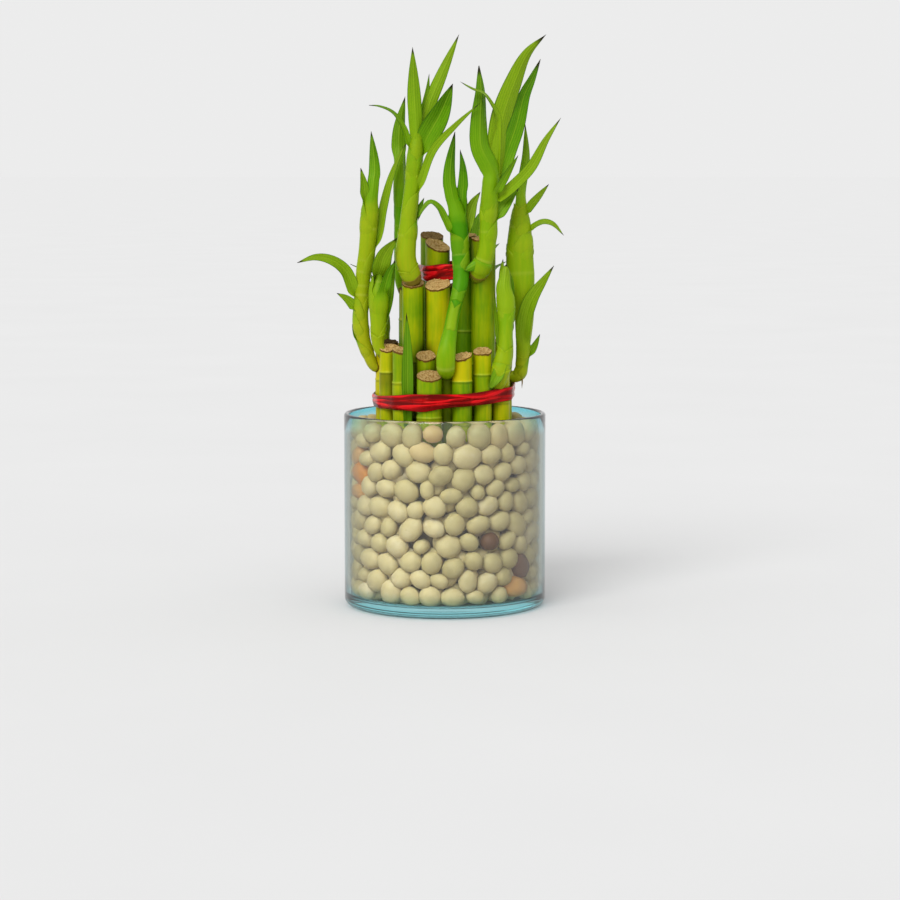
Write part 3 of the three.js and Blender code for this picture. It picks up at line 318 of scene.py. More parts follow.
def add(tree, kind, sockets=None, stops=None, out=0, **settings):
    """Adds one node and returns its output out. settings are its own properties, sockets are what
    feeds it, and stops are a ramp's places and hex colours."""
    node = tree.nodes.new("ShaderNode" + kind)
    for key, value in settings.items():
        setattr(node, key, value)
    feed(node, sockets or {})
    if stops:
        while len(node.color_ramp.elements) < len(stops):
            node.color_ramp.elements.new(1.0)
        for element, (place, code) in zip(node.color_ramp.elements, stops):
            element.position = place
            element.color = linear(code)
    return node.outputs[out]


def material(name):
    """A new material, its Principled shader, add for its own tree, and the place on the object."""
    made = bpy.data.materials.new(name)
    made.use_nodes = True
    node = functools.partial(add, made.node_tree)
    return made, made.node_tree.nodes["Principled BSDF"], node, node("TexCoord", out="Object")


def laid_over(node, colour, layers, curve="SMOOTHSTEP"):
    """Layers of colour over a colour. A layer is the value that it follows, from where it starts to
    where it is whole, the most it covers, its own colour, and perhaps a share to multiply that by."""
    for value, low, high, most, layer, *shares in layers:
        cover = node("MapRange", {"Value": value, "From Min": low, "From Max": high, "To Max": most},
                     interpolation_type=curve)
        for share in shares:
            cover = node("Math", {0: cover, 1: share}, operation="MULTIPLY")
        colour = node("Mix", {0: cover, 6: colour, 7: layer}, data_type="RGBA", out=2)
    return colour


def finish(node, shader, colour, uneven, rough, relief, inputs):
    """The shader's colour, a roughness that follows an uneven pattern between two values, a relief by
    its height, strength and depth in metres, and further inputs."""
    feed(shader, {
        "Base Color": colour,
        "Roughness": node("MapRange", {"Value": uneven, "From Min": 0.3, "From Max": 0.7,
                                       "To Min": rough[0], "To Max": rough[1]}),
        "Normal": node("Bump", {"Height": relief[0], "Strength": relief[1], "Distance": relief[2]}),
        **inputs})


def streaked(node, place, across, up):
    """Lengthwise streaks about 1.4 mm apart: noise drawn out along the height."""
    long_way = node("Mapping", {"Vector": place, "Scale": (across, across, up)})
    return node("TexNoise", {"Vector": long_way, "Scale": 300.0, "Detail": 3.0, "Roughness": 0.6})


# ---- materials ----
def stalk_material():
    """Living dracaena stalk: waxy yellow-green skin with fine lengthwise streaks, a pale collar over
    a groove at each node, painted shade where two stalks stand close, and a sawn end that has dried
    to tan fibre. A soft gloss on the skin and none on the cut."""
    made, shader, node, place = material("dracaena stalk, waxy skin and sawn end")
    # Streaks 20 mm long and blotches of about 12 mm.
    streaks = streaked(node, place, 2.4, 0.16)
    blotches = node("TexNoise", {"Vector": place, "Scale": 85.0, "Detail": 2.0})
    fine = node("TexNoise", {"Vector": place, "Scale": 520.0, "Detail": 3.0, "Roughness": 0.65})
    yellow = node("Math", {0: streaks, 1: 0.5, 2: "yellow"}, operation="MULTIPLY_ADD")
    yellow = node("Math", {0: blotches, 1: 0.5, 2: yellow}, operation="MULTIPLY_ADD")
    skin = node("ValToRGB", {"Fac": yellow}, stops=[
        (0.0, "#2c6600"), (0.3, "#5c8600"), (0.55, "#8b9e00"), (0.78, "#aeab02"), (1.0, "#bfa909")])
    # A ragged brown line under the lip, up to 1.5 mm wide.
    lip = node("Math", {0: fine, 1: -2.2, 2: "below"}, operation="MULTIPLY_ADD")
    # Fibre bundles 0.9 mm apart.
    fibre = node("TexVoronoi", {"Vector": place, "Scale": 1100.0}, feature="F1")
    fibre = node("Math", {0: fine, 1: 0.9, 2: fibre}, operation="MULTIPLY_ADD")
    shade = node("Math", {0: fibre, 1: -0.2}, operation="ADD")
    sawn = node("ValToRGB", {"Fac": shade}, stops=[
        (0.15, "#4e3010"), (0.38, "#8a6230"), (0.6, "#b08a4e"), (0.9, "#cbaa70")])
    sawn = laid_over(node, sawn, [("brown", 0, 1, 1, "#33200e")], "LINEAR")
    # Over the skin lie a groove and a collar at the nodes, old brown skin, painted shade between close
    # neighbours, the line under the lip, and the cut.
    skin = laid_over(node, skin, [
        ("groove", 0, 1, 0.4, "#46560a"), ("collar", 0, 1, 0.4, "#b0b83c"), ("old", 0, 1, 0.6, "#4e4c08"),
        ("nook", 0, 1, 0.94, "#0a0e02"), (lip, 0, -0.5, 1, "#5c3c12"), ("cut", 0, 1, 1, sawn)], "LINEAR")
    gloss = node("MapRange", {
        "Value": streaks, "From Min": 0.3, "From Max": 0.7, "To Min": 0.34, "To Max": 0.5})
    relief = {"Height": node("Mix", {0: "cut", 2: streaks, 3: fibre}), "Distance": 0.0003,
              "Strength": node("MapRange", {"Value": "cut", "To Min": 0.25, "To Max": 0.9})}
    feed(shader, {"Base Color": skin, "Roughness": node("Mix", {0: "cut", 2: gloss, 3: 0.92}),
                  "Normal": node("Bump", relief), "Specular IOR Level": 0.2, "Specular Tint": "#f0f4a0"})
    return made


# The wax on young skin, and how deep light goes into it.
WAX = {"Specular IOR Level": 0.25, "Specular Tint": "#e8f49a", "Subsurface Scale": 0.0012}


def young_skin(node, place):
    """The streaks and the colour of a young stem, and of the sheaths that wrap it as yellow-green."""
    streaks = streaked(node, place, 2.2, 0.2)
    yellow = node("Math", {0: streaks, 1: 0.4, 2: "yellow"}, operation="MULTIPLY_ADD")
    return streaks, node("ValToRGB", {"Fac": yellow}, stops=[
        (0.0, "#3f8200"), (0.35, "#659400"), (0.65, "#849e08"), (1.0, "#a0a010")])


def leaf_material():
    """Living dracaena leaf: a sheath as yellow-green as the stem it wraps, a deeper green blade with
    fine parallel veins, a paler midrib, a dark thin edge and a dry black tip; a waxy half gloss and a
    little light through it."""
    made, shader, node, place = material("dracaena leaf, waxy blade with parallel veins")
    along = node("Attribute", attribute_name="along", out="Fac")
    size = node("Math", {0: "across"}, operation="ABSOLUTE")
    patches = node("TexNoise", {"Vector": place, "Scale": 110.0, "Detail": 2.0})
    streaks, sheath = young_skin(node, place)
    shade = node("Math", {0: patches, 1: 0.5, 2: along}, operation="MULTIPLY_ADD")
    blade = node("ValToRGB", {"Fac": shade}, stops=[
        (0.25, "#6a9606"), (0.6, "#568c02"), (0.95, "#467c00"), (1.0, "#3c7000")])
    # Veins are 0.25 mm apart on the plant; here 1.1 mm, so that they show.
    vein = node("Math", {0: "across_mm", 1: TURN / 1.1}, operation="MULTIPLY")
    vein = node("Math", {0: vein}, operation="SINE")
    vein = node("Math", {0: streaks, 1: 2.5, 2: vein}, operation="MULTIPLY_ADD")
    on_blade = node("MapRange", {"Value": along, "From Min": 0.1, "From Max": 0.4})
    # Over the sheath lie the blade, the green of young leaves and the paleness of old ones, pale and
    # dark veins, the midrib, the edge, the dry tip and dried skin.
    colour = laid_over(node, sheath, [
        (shade, 0.05, 0.5, 1, blade), ("deep", 0, 1, 0.85, "#1a6c00"), ("tone", 0, 1, 0.45, "#93a616"),
        (vein, 0.9, 2.6, 0.13, "#9cb420", on_blade), (vein, 1.2, 0.2, 0.14, "#2e6600", on_blade),
        (size, 0.13, 0.02, 0.3, "#8eac24", on_blade), (size, 0.86, 0.99, 0.75, "#1e4a04", on_blade),
        (along, 0.9, 0.965, 1, "#140c0a"), ("dry", 0, 1, 0.9, "#7a5a26")])
    strength = node("MapRange", {"Value": on_blade, "To Min": 0.08, "To Max": 0.35})
    finish(node, shader, colour, patches, (0.36, 0.5), (vein, strength, 0.00012),
           {**WAX, "Subsurface Weight": 0.1, "Subsurface Radius": (0.7, 1.0, 0.1)})
    return made


def stem_material():
    """Young dracaena stem: juicy yellow-green skin with faint lengthwise streaks, paler rings where
    sheaths fell, and brown where it left its cane. Waxy, so a soft gloss."""
    made, shader, node, place = material("dracaena young stem, waxy skin")
    streaks, skin = young_skin(node, place)
    skin = laid_over(node, skin, [("off_cane", 0.9, 0.1, 0.9, "#5e4212"), ("band", 0, 1, 0.25, "#b4bc4c")])
    finish(node, shader, skin, streaks, (0.34, 0.48), (streaks, 0.3, 0.00015),
           {**WAX, "Subsurface Weight": 0.08, "Subsurface Radius": (0.8, 1.0, 0.1)})
    return made


def pebble_material():
    """River pebble, tumbled and washed: dense cream stone with faint clouds and specks and a dull
    satin surface that lets light in a little. A few are orange or brown, and the core behind them is
    coloured dark olive as painted shade between the stones."""
    made, shader, node, place = material("river pebble, tumbled cream stone")
    # Clouds of 6 mm and specks of 1 mm.
    clouds = node("TexNoise", {"Vector": place, "Scale": 160.0, "Detail": 4.0, "Roughness": 0.6})
    specks = node("TexNoise", {"Vector": place, "Scale": 900.0, "Detail": 3.0, "Roughness": 0.6})
    shade = node("Math", {0: clouds, 1: 0.6, 2: "tone"}, operation="MULTIPLY_ADD")
    stone = node("ValToRGB", {"Fac": shade}, stops=[
        (0.15, "#9c8d5c"), (0.45, "#b5a571"), (0.75, "#c1b07f"), (1.0, "#ccbd97")])
    # The core's dark olive is painted shade in the depth of the bed.
    stone = laid_over(node, stone, [
        (specks, 0.6, 0.75, 0.3, "#7f7248"), ("orange", 0, 1, 1, "#c67a00"), ("brown", 0, 1, 1, "#5a3010"),
        ("deep", 0, 1, 1, "#5c5028")], "LINEAR")
    finish(node, shader, stone, clouds, (0.45, 0.62), (specks, 0.25, 0.0002), {
        "Specular IOR Level": 0.3, "Subsurface Weight": 0.25, "Subsurface Radius": (1.0, 0.85, 0.5),
        "Subsurface Scale": 0.002})
    return made


def glass_material():
    """Clear soda-lime glass, blown and fire polished: a mirror gloss, a blue-green body colour that
    shows where the eye looks along the wall, at the rim and in the thick foot, and the faint waves of
    blown glass. It lets the lamps through, so that the stones behind it are lit."""
    made, shader, node, place = material("soda-lime glass, blown and fire polished")
    facing = node("LayerWeight", {"Blend": 0.3}, out="Facing")
    tint = node("ValToRGB", {"Fac": facing}, stops=[
        (0.2, "#ffffff"), (0.4, "#a8ab90"), (0.5, "#6c7666"), (0.62, "#405e5c"), (0.9, "#2f6470")])
    tint = laid_over(node, tint, [("blue", 0, 1, 1, "#7ad8e6"), ("foot", 0, 1, 1, "#6ec8d0")], "LINEAR")
    uneven = node("TexNoise", {"Vector": place, "Scale": 14.0, "Detail": 1.0})
    feed(shader, {"Base Color": tint, "Roughness": 0.01, "IOR": 1.5, "Transmission Weight": 1.0,
                  "Normal": node("Bump", {"Height": uneven, "Strength": 0.05, "Distance": 0.001})})
    clear = node("BsdfTransparent", {"Color": "#eef6f8"})
    lamp_ray = node("LightPath", out="Is Shadow Ray")
    feed(made.node_tree.nodes["Material Output"],
         {"Surface": node("MixShader", {0: lamp_ray, 1: shader.outputs[0], 2: clear})})
    return made


def satin_material():
    """Polyester satin ribbon, woven: a smooth face with a strong soft highlight along its pleats, helped by
    a painted highlight on their crests, and painted shade of deep wine red in their hollows, under the
    edges of each turn and in patches."""
    made, shader, node, place = material("polyester satin ribbon, woven")
    # Patches about 8 mm across that darken and lighten the red, as painted shade, and vary the gloss.
    patchy_shade = node("TexNoise", {"Vector": place, "Scale": 120.0, "Detail": 2.0})
    # The weft lies 0.12 mm apart on the ribbon; here 0.5 mm, so that it shows.
    weft = node("Math", {0: "along_mm", 1: TURN / 0.5}, operation="MULTIPLY")
    weft = node("Math", {0: weft}, operation="SINE")
    cloth = node("ValToRGB", {"Fac": patchy_shade}, stops=[(0.32, "#6c0001"), (0.5, "#900003"), (0.68, "#ac0207")])
    # Painted shade in the hollows of the pleats and under each turn's edges, and a painted highlight on the
    # crests.
    cloth = laid_over(node, cloth, [
        ("valley", 0.4, 1, 0.85, "#340001"), ("valley", 0.3, 0, 0.75, "#e4121c"),
        (weft, -1, 1, 0.1, "#e01820")])
    finish(node, shader, cloth, patchy_shade, (0.2, 0.34), (weft, 0.08, 0.0001),
           {"Specular IOR Level": 0.6, "Specular Tint": "#ff6a5c"})
    return made


def floor_material():
    """Pale painted board: matt, with a barely visible mottle."""
    made, shader, node, place = material("painted board, matt")
    mottle = node("TexNoise", {"Vector": place, "Scale": 6.0, "Detail": 3.0})
    board = node("Mix", {0: mottle, 6: "#d3d3d3", 7: "#d7d7d7"}, data_type="RGBA", out=2)
    feed(shader, {"Base Color": board, "Roughness": 0.9, "Specular IOR Level": 0.0})
    return made


# ---- surfaces ----
# A surface is (points, quads, triangles, marks): marks maps a name to one number for each point.
def columns(*parts):
    """Arrays, spread to one shape, as the last axis of a new one."""
    return np.stack(np.broadcast_arrays(*parts), -1)


def circle(steps):
    """Angles evenly round a circle."""
    return np.linspace(0, TURN, steps, endpoint=False)


def polar(radius, angle, *height):
    """Points at a radius and an angle round the axis, and at a height where one is given."""
    return columns(radius * np.cos(angle), radius * np.sin(angle), *height)


def ring_faces(rows, cols):
    """Quads between neighbouring points of rows of points, the last column joined to the first;
    rows that climb and columns that run anticlockwise face outwards."""
    i = np.arange(rows - 1)[:, None] * cols
    j = np.arange(cols)[None, :]
    k = (j + 1) % cols
    return columns(i + j, i + k, i + cols + k, i + cols + j).reshape(-1, 4)


def fans(rows, cols):
    """Triangles that close the first row of points and the last to the two points that come after
    them all."""
    j = np.arange(cols)
    k = (j + 1) % cols
    foot, last = rows * cols, (rows - 1) * cols
    return np.vstack([columns(foot, k, j), columns(foot + 1, last + j, last + k)])


def closed_skin(rings, marks):
    """A skin over rings of points, closed at both ends by fans to the middle of the first and the
    last ring."""
    rows, cols = rings.shape[:2]
    points = np.vstack([rings.reshape(-1, 3), rings[0].mean(0), rings[-1].mean(0)])
    whole = {name: np.broadcast_to(value, (rows, cols)) for name, value in marks.items()}
    return points, ring_faces(rows, cols), fans(rows, cols), {
        name: np.concatenate([value.ravel(), [value[0].mean(), value[-1].mean()]])
        for name, value in whole.items()}


def slab(shape, thick, marks):
    """A sheet of points as a thin closed wall: half the thickness is added on either side along the
    surface's normal, and strips close its four sides."""
    normal = unit(np.cross(np.gradient(shape, axis=1), np.gradient(shape, axis=0)))
    over, under = shape + normal * thick[..., None] / 2, shape - normal * thick[..., None] / 2
    rings = np.concatenate([over, under[:, ::-1]], 1)
    rows, cols = rings.shape[:2]
    j = np.arange(cols // 2 - 1)
    first = columns(j, cols - 1 - j, cols - 2 - j, j + 1)
    quads = np.vstack([ring_faces(rows, cols), first, (first + (rows - 1) * cols)[:, ::-1]])
    whole = {name: np.broadcast_to(value, (rows, cols // 2)) for name, value in marks.items()}
    return rings.reshape(-1, 3), quads, np.zeros((0, 3), int), {
        name: np.concatenate([value, value[:, ::-1]], 1).ravel() for name, value in whole.items()}


def joined(surfaces):
    """Several surfaces as one."""
    shift = np.cumsum([0] + [len(s[0]) for s in surfaces[:-1]])
    quads, triangles = (np.vstack([s[k] + n for s, n in zip(surfaces, shift)]) for k in (1, 2))
    marks = {name: np.concatenate([s[3][name] for s in surfaces]) for name in surfaces[0][3]}
    return np.vstack([s[0] for s in surfaces]), quads, triangles, marks


def piece(name, surface, look, slot, *nodes, sharp):
    """The surface as a mesh in metres that stands for the CAD nodes: smooth, but for edges sharper
    than the given angle in degrees."""
    points, quads, triangles, marks = surface
    mesh = bpy.data.meshes.new(name)
    mesh.from_pydata((points * MM).tolist(), [], quads.tolist() + triangles.tolist())
    for key, values in marks.items():
        mesh.attributes.new(key, "FLOAT", "POINT").data.foreach_set("value", values.astype(np.float32))
    mesh.polygons.foreach_set("use_smooth", np.ones(len(mesh.polygons), bool))
    mesh.set_sharp_from_angle(angle=math.radians(sharp))
    mesh.materials.append(look)
    made = put(name, mesh)
    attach(made, "root")
    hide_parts(*nodes)
    return made


def smooth_step(value, low, high):
    """0 below low, 1 above high, and a smooth climb between them."""
    t = np.clip((value - low) / (high - low), 0, 1)
    return t * t * (3 - 2 * t)


def bump(distance, width):
    """1 at no distance, fading to nothing about two widths away on either side."""
    return np.exp(-(distance / width) ** 2)


def waves(angle, random, first=2, last=6):
    """A smooth random wave round a circle: sines with whole numbers of periods, about -1 to 1."""
    total = np.zeros_like(angle, dtype=float)
    for periods in range(first, last + 1):
        total = total + random.normal() * np.sin(periods * angle + random.uniform(0, TURN)) / periods ** 0.5
    return total * 0.6


def unit(vectors):
    """Vectors on the last axis, made 1 long."""
    return vectors / np.maximum(np.linalg.norm(vectors, axis=-1, keepdims=True), 1e-9)


def tangents(points):
    """The way that a line of points heads at each of them."""
    return unit(np.gradient(points, axis=0))


def distances(points, power=1):
    """How far each point of a line lies from its start, each step raised to a power."""
    steps = np.linalg.norm(np.diff(points, axis=0), axis=1) ** power
    return np.concatenate([[0], np.cumsum(steps)])


def read_at(at, far, table):
    """The rows of a table that stand at the distances far, read off at others."""
    return np.stack([np.interp(at, far, table[:, c]) for c in range(table.shape[1])], -1)


def smooth_path(stations, step=0.4):
    """A centripetal Catmull-Rom curve through the stations, whose first three numbers are a place and
    the others ride along; returned as points evenly apart, with their distances from the start."""
    p = np.asarray(stations, float)
    p = np.vstack([2 * p[0] - p[1], p, 2 * p[-1] - p[-2]])
    knot = distances(p[:, :3], 0.5)

    def between(t, a, b, first, last):
        """The straight way from one value at knot a to another at knot b."""
        return ((knot[b] - t) * first + (t - knot[a]) * last) / (knot[b] - knot[a])

    pieces = []
    for i in range(1, len(p) - 2):
        t = np.linspace(knot[i], knot[i + 1], 40)[:, None]
        a1, a2, a3 = (between(t, k, k + 1, p[k], p[k + 1]) for k in (i - 1, i, i + 1))
        b1, b2 = between(t, i - 1, i + 1, a1, a2), between(t, i, i + 2, a2, a3)
        pieces.append(between(t, i, i + 1, b1, b2))
    dense = np.vstack(pieces)
    far = distances(dense[:, :3])
    even = np.linspace(0, far[-1], max(8, int(far[-1] / step)))
    return read_at(even, far, dense), even


def sampled(table, far, at):
    """The rows of table at the distances at, carried straight on past either end."""
    out = read_at(np.clip(at, far[0], far[-1]), far, table)
    end, start = unit(table[-1, :3] - table[-3, :3]), unit(table[2, :3] - table[0, :3])
    out[:, :3] += np.maximum(at - far[-1], 0)[:, None] * end + np.minimum(at - far[0], 0)[:, None] * start
    return out


# ---- canes ----
def cane_surface(name, seed):
    """A turned stalk, slightly out of round: rings stand proud of the skin with a groove under each,
    the lip is ragged, and the top is a slanted saw cut with raised fibres, sunk in the middle. Rows
    climb the wall and then run inwards over the cut."""
    x, y, radius, top = CANES[name]
    top, to_right, to_back = CUTS.get(name, (top, 0.0, CUT_SLANT))
    random = np.random.default_rng(seed)
    angle = circle(40)
    # Rows lie close together at the rings and at the lip. Below 40 mm the stones hide the rings.
    usual = [top - NODE["first"] - NODE["spacing"] * k for k in range(5)]
    rings = np.array(NODE_HEIGHTS.get(name, usual), float)
    rings = rings[rings > 40]
    close = np.array([-4, -2.6, -2.0, -1.7, -1.4, -1.1, -0.7, -0.3, 0, 0.3, 0.7, 1.2, 2.4])
    heights = np.concatenate([np.linspace(VASE["floor"] + 0.6, top - 3, 26), (rings[:, None] + close).ravel(),
                              top - np.array([2.2, 1.6, 1.1, 0.7, 0.35, 0.12, 0])])
    heights = np.unique(np.round(heights[heights <= top], 2))[:, None]
    near = heights - rings[np.abs(heights - rings).argmin(1)][:, None]
    below = top - heights
    out_of_round = 1 + 0.012 * waves(angle, random) + 0.006 * waves(angle, random) * np.sin(heights / 9)
    wall = (radius - NODE["proud"]) * out_of_round + 0.2 * bump(near, 0.55) - 0.1 * bump(near + 1.1, 0.4)
    wall = wall + 0.1 - 0.2 * smooth_step(near, -0.4, 0.4)
    wall = wall + (0.1 + 0.12 * waves(angle, random, 2, 14)) * smooth_step(heights, top - 1.2, top)
    cut_share = np.array([0.985, 0.95, 0.88, 0.78, 0.66, 0.54, 0.42, 0.3, 0.19, 0.09])[:, None]
    radii = np.vstack([wall, wall[-1] * cut_share])
    lip = 0.16 * waves(angle, random, 2, 14)
    rise = radii * (to_right * np.cos(angle) + to_back * np.sin(angle))
    sunk, fibres = 0.5, random.normal(0, 0.16, (len(cut_share), len(angle)))
    level = np.vstack([
        heights + rise[:len(heights)] * smooth_step(heights, top - 14, top)
        + lip * smooth_step(heights, top - 1.5, top),
        top + rise[len(heights):] + lip * (1 - smooth_step(1 - cut_share, 0.0, 0.35))
        - sunk * smooth_step(1 - cut_share, 0.05, 0.8) + fibres])
    points = polar(radii, angle, level) + (x, y, 0)

    def on_wall(value, on_cut=0.0):
        """A mark with a value for each row of the wall, and one for all rows of the cut."""
        return np.vstack([value + 0 * heights + 0 * angle, np.full((len(cut_share), len(angle)), on_cut)])

    shades = np.array(YELLOWNESS.get(name, tuple(random.uniform(0.3, 0.6, 3))))
    yellow = shades[np.minimum((rings > heights).sum(1), len(shades) - 1)][:, None]
    # Painted shade: a skin point is darkened where one or more neighbours stand within 4.5 mm.
    others = np.array([c for n, c in CANES.items() if n != name])
    clear = np.hypot(points[..., None, 0] - others[:, 0], points[..., None, 1] - others[:, 1]) - others[:, 2]
    crowd = (np.clip(1 - clear / 4.5, 0, 1) * (points[..., None, 2] < others[:, 3] + 1)).sum(-1)
    brown = {"low_left_back": 0.9, "top_back": 0.75, "mid_back": 0.6}.get(name, random.uniform(0, 0.3))
    front = smooth_step(-np.sin(angle), -0.2, 0.6)
    upper = smooth_step(heights, 150, 166)
    band = smooth_step(heights, 104, 110) * smooth_step(-heights, -117.4, -116.4)
    old = {"top_right": 0.5 * upper, "top_back": 0.35 * upper, "low_left_front": front * band}
    return closed_skin(points, {
        "cut": on_wall(0.0, 1.0),
        "below": on_wall(below),
        "groove": on_wall(bump(near + 1.1, 0.5)),
        "collar": on_wall(bump(near + 0.1, 0.35)),
        "yellow": on_wall(yellow, yellow[-1, 0]) - 0.5,
        "brown": brown,
        "old": on_wall(old.get(name, 0.0)),
        "nook": smooth_step(crowd, 0.35, 1.05) * on_wall(smooth_step(below, 0, 2.5)),
    })


# ---- shoots ----
def stem_frame(stations):
    """Along a stem: its middle, its two half sizes, and the two directions they lie in, as CAD has them:
    across the view, or where the stem heads for the front, level across it."""
    path, far = smooth_path(stations, 1.1)
    along = tangents(path[:, :3])
    across = np.cross(along, (0, -1, 0))
    level = np.cross((0, 0, 1), along)
    across = unit(np.where(np.abs(along[:, 1:2]) > 0.8, level, across))
    return dict(middle=path[:, :3], half=path[:, 3:5], far=far, along=along, across=across,
                deep=np.cross(along, across), table=np.hstack([path, across]))


def stem_yellow(name, far):
    """How yellow a stem is at a distance from its foot, less the part that its streaks add."""
    low, high = STEM_YELLOW.get(name, USUAL_YELLOW)
    return low - 0.2 + (high - low) * smooth_step(far, 0, 60)


def stem_surface(name, stem, random):
    """An oval carried along the stem's path; its last rings draw in to a rounded end. Faint collars
    ring it where sheaths have fallen."""
    cane_x, cane_y, cane_radius, cane_top = CANES[name]
    angle = circle(28)
    half, far = stem["half"], stem["far"]
    collars = far[-1] * random.uniform(0.12, 0.9, max(2, int(far[-1] / 16)))
    near = far - collars[np.abs(far[:, None] - collars).argmin(1)]
    swell = (1 + 0.015 * bump(near, 0.9)) * (1 - 0.6 * smooth_step(far, far[-1] - 11, far[-1]))
    closing = np.array([0.3, 0.65, 0.9, 1.0])
    ends = len(closing)
    end = stem["middle"][-1] + stem["along"][-1] * (0.4 * half[-1].mean() * closing)[:, None]
    size = 0.4 * np.sqrt(1 - np.minimum(closing, 0.985) ** 2)
    middle = np.vstack([stem["middle"], end])
    half = np.vstack([half * swell[:, None], half[-1] * size[:, None]])
    across, deep = (np.vstack([stem[key], np.repeat(stem[key][-1:], ends, 0)]) for key in ("across", "deep"))
    ovals = (middle[:, None] + across[:, None] * (half[:, :1] * np.cos(angle))[..., None]
             + deep[:, None] * (half[:, 1:] * np.sin(angle))[..., None])
    # How far its skin is from the cane's, and far enough anywhere above the cane's cut.
    away = np.hypot(ovals[..., 0] - cane_x, ovals[..., 1] - cane_y) - cane_radius
    return closed_skin(ovals, {
        "yellow": stem_yellow(name, np.concatenate([far, np.full(ends, far[-1])]))[:, None],
        "off_cane": np.where(ovals[..., 2] > cane_top + 0.5, 5, away),
        "band": np.concatenate([bump(near, 0.5), np.zeros(ends)])[:, None],
    })


HALF_COLUMNS = np.array([0.08, 0.2, 0.36, 0.54, 0.72, 0.86, 0.95, 1])
BLADE_COLUMNS = np.concatenate([-HALF_COLUMNS[::-1], [0], HALF_COLUMNS])


def leaf_surface(name, width, face, path, stem, layer, random, keel=-1, deep=0.0, dry=0.0, tone=None,
                 folded=0.0):
    """A leaf as a closed thin skin: a sheath that wraps the stem and a blade that leaves it. The sheath
    is the stem's oval plus a little, from one edge round the leaf's own side to the other, its wrap
    narrowing upwards to the blade's width. The blade is its midrib plus the half width across, lifted
    by a rounded fold at the edges. A smooth step carries one into the other over the first part of
    the blade, and half the thickness is added on either side along the surface's normal."""
    line, far = smooth_path(path)
    length = far[-1]
    sheath = 0.0 if stem is None else min(15.0, 7 + 0.1 * length)
    # Rows along the blade, closer at both ends, after those along the sheath.
    even = np.linspace(0, 1, 42)
    blade_rows = length * (1 - np.cos(np.pi * even)) / 2 * 0.6 + length * even * 0.4
    sheath_rows = np.linspace(-sheath, 0, 12)[:-1] if sheath else []
    at = np.concatenate([sheath_rows, blade_rows[:-1], [length * 0.9985]])
    t = BLADE_COLUMNS[None, :]
    share = np.clip(at / length, 0, 1)
    # The half width grows to the widest place and then falls to the tip.
    widest = 0.42
    reach = np.where(share < widest, 0.55 + 0.45 * np.sin(np.clip(share / widest, 0, 1) * np.pi / 2),
                     1 - np.clip((share - widest) / (1 - widest), 0, 1) ** 1.7)
    if stem is not None:
        # At its foot the blade is about as wide as the stem.
        start = np.linalg.norm(stem["middle"] - line[0], axis=1).argmin()
        clasp = np.clip(2.05 * stem["half"][start, 0] / width, 0.55, 0.82)
        reach = reach + (clasp - 0.55) * (1 - smooth_step(share, 0.0, 0.4))
    half = np.maximum(width / 2 * reach, 0.05)[:, None]
    middle = sampled(line, far, at)
    along = tangents(middle)
    across = unit(np.cross(along, face))
    upward = np.cross(across, along)
    twist = (np.radians(random.uniform(-7, 7)) * share)[:, None]
    across, upward = (across * np.cos(twist) + upward * np.sin(twist),
                      upward * np.cos(twist) - across * np.sin(twist))
    fold = 0.62 - 0.32 * smooth_step(share, 0.0, 0.45) + folded * smooth_step(share, 0.3, 0.65)
    curl = random.uniform(-0.05, 0.05) * width
    curl = curl * np.sin(share * np.pi * random.uniform(1.5, 3.5) + random.uniform(0, TURN))
    lift = -keel * half * fold[:, None] * (np.sqrt(t ** 2 + 0.03) - 0.17) + curl[:, None] * t * np.abs(t)
    shape = middle[:, None] + across[:, None] * (half * t)[..., None] + upward[:, None] * lift[..., None]
    yellow = 0.0
    if stem is not None:
        place = stem["far"][start] + at
        yellow = stem_yellow(name, place)[:, None]
        on_stem = sampled(stem["table"], stem["far"], np.maximum(place, 2.0))
        row = np.clip(np.searchsorted(stem["far"], place), 0, len(stem["far"]) - 1)
        heading = tangents(stem["middle"])[row]
        side = unit(on_stem[:, 5:8])
        front = np.cross(side, heading)
        # The sheath's middle lies on the side that the leaf leaves to, turned by the way it looks.
        leaving = unit(sampled(line, far, np.array([min(0.3 * length, 9.0)]))[0, :3] - stem["middle"][start])
        looks = unit(np.array(face, float))
        leaving = 0.5 * leaving + looks if keel > 0 else leaving - 0.35 * looks
        outward = unit(leaving[None] - heading * (heading @ leaving)[:, None])
        turnwise = np.cross(heading, outward)
        turnwise = turnwise * np.sign((turnwise * across).sum(-1, keepdims=True) + 1e-9)
        stem_half = on_stem[:, 3:5]
        parting = np.linalg.norm(middle - on_stem[:, :3], axis=1) / stem_half.mean(1)
        stem_end = stem["far"][-1]
        mix = np.maximum(smooth_step(parting, 0.4, 1.5), smooth_step(place, stem_end - 2, stem_end + 7))
        mix = np.maximum.accumulate(np.where(at < 0, 0, mix * smooth_step(at, -0.5, 5)))[:, None, None]
        wrap = 1.35 + 1.6 * (1 - np.clip((at + 0.6 * sheath) / (0.9 * sheath), 0, 1))
        turn = wrap[:, None] * t
        ray = outward[:, None] * np.cos(turn)[..., None] + turnwise[:, None] * np.sin(turn)[..., None]
        oval = 1 / np.sqrt(((ray * side[:, None]).sum(-1) / stem_half[:, :1]) ** 2
                           + ((ray * front[:, None]).sum(-1) / stem_half[:, 1:]) ** 2)
        stand = -0.4 + (0.56 + 0.04 * layer) * smooth_step(at, -sheath, -0.35 * sheath)
        stand = stand[:, None] - (0.4 * smooth_step(-at, -2, 6))[:, None] * np.abs(t) ** 5
        wrapped = on_stem[:, None, :3] + ray * (oval + stand)[..., None]
        shape = wrapped * (1 - mix) + shape * mix
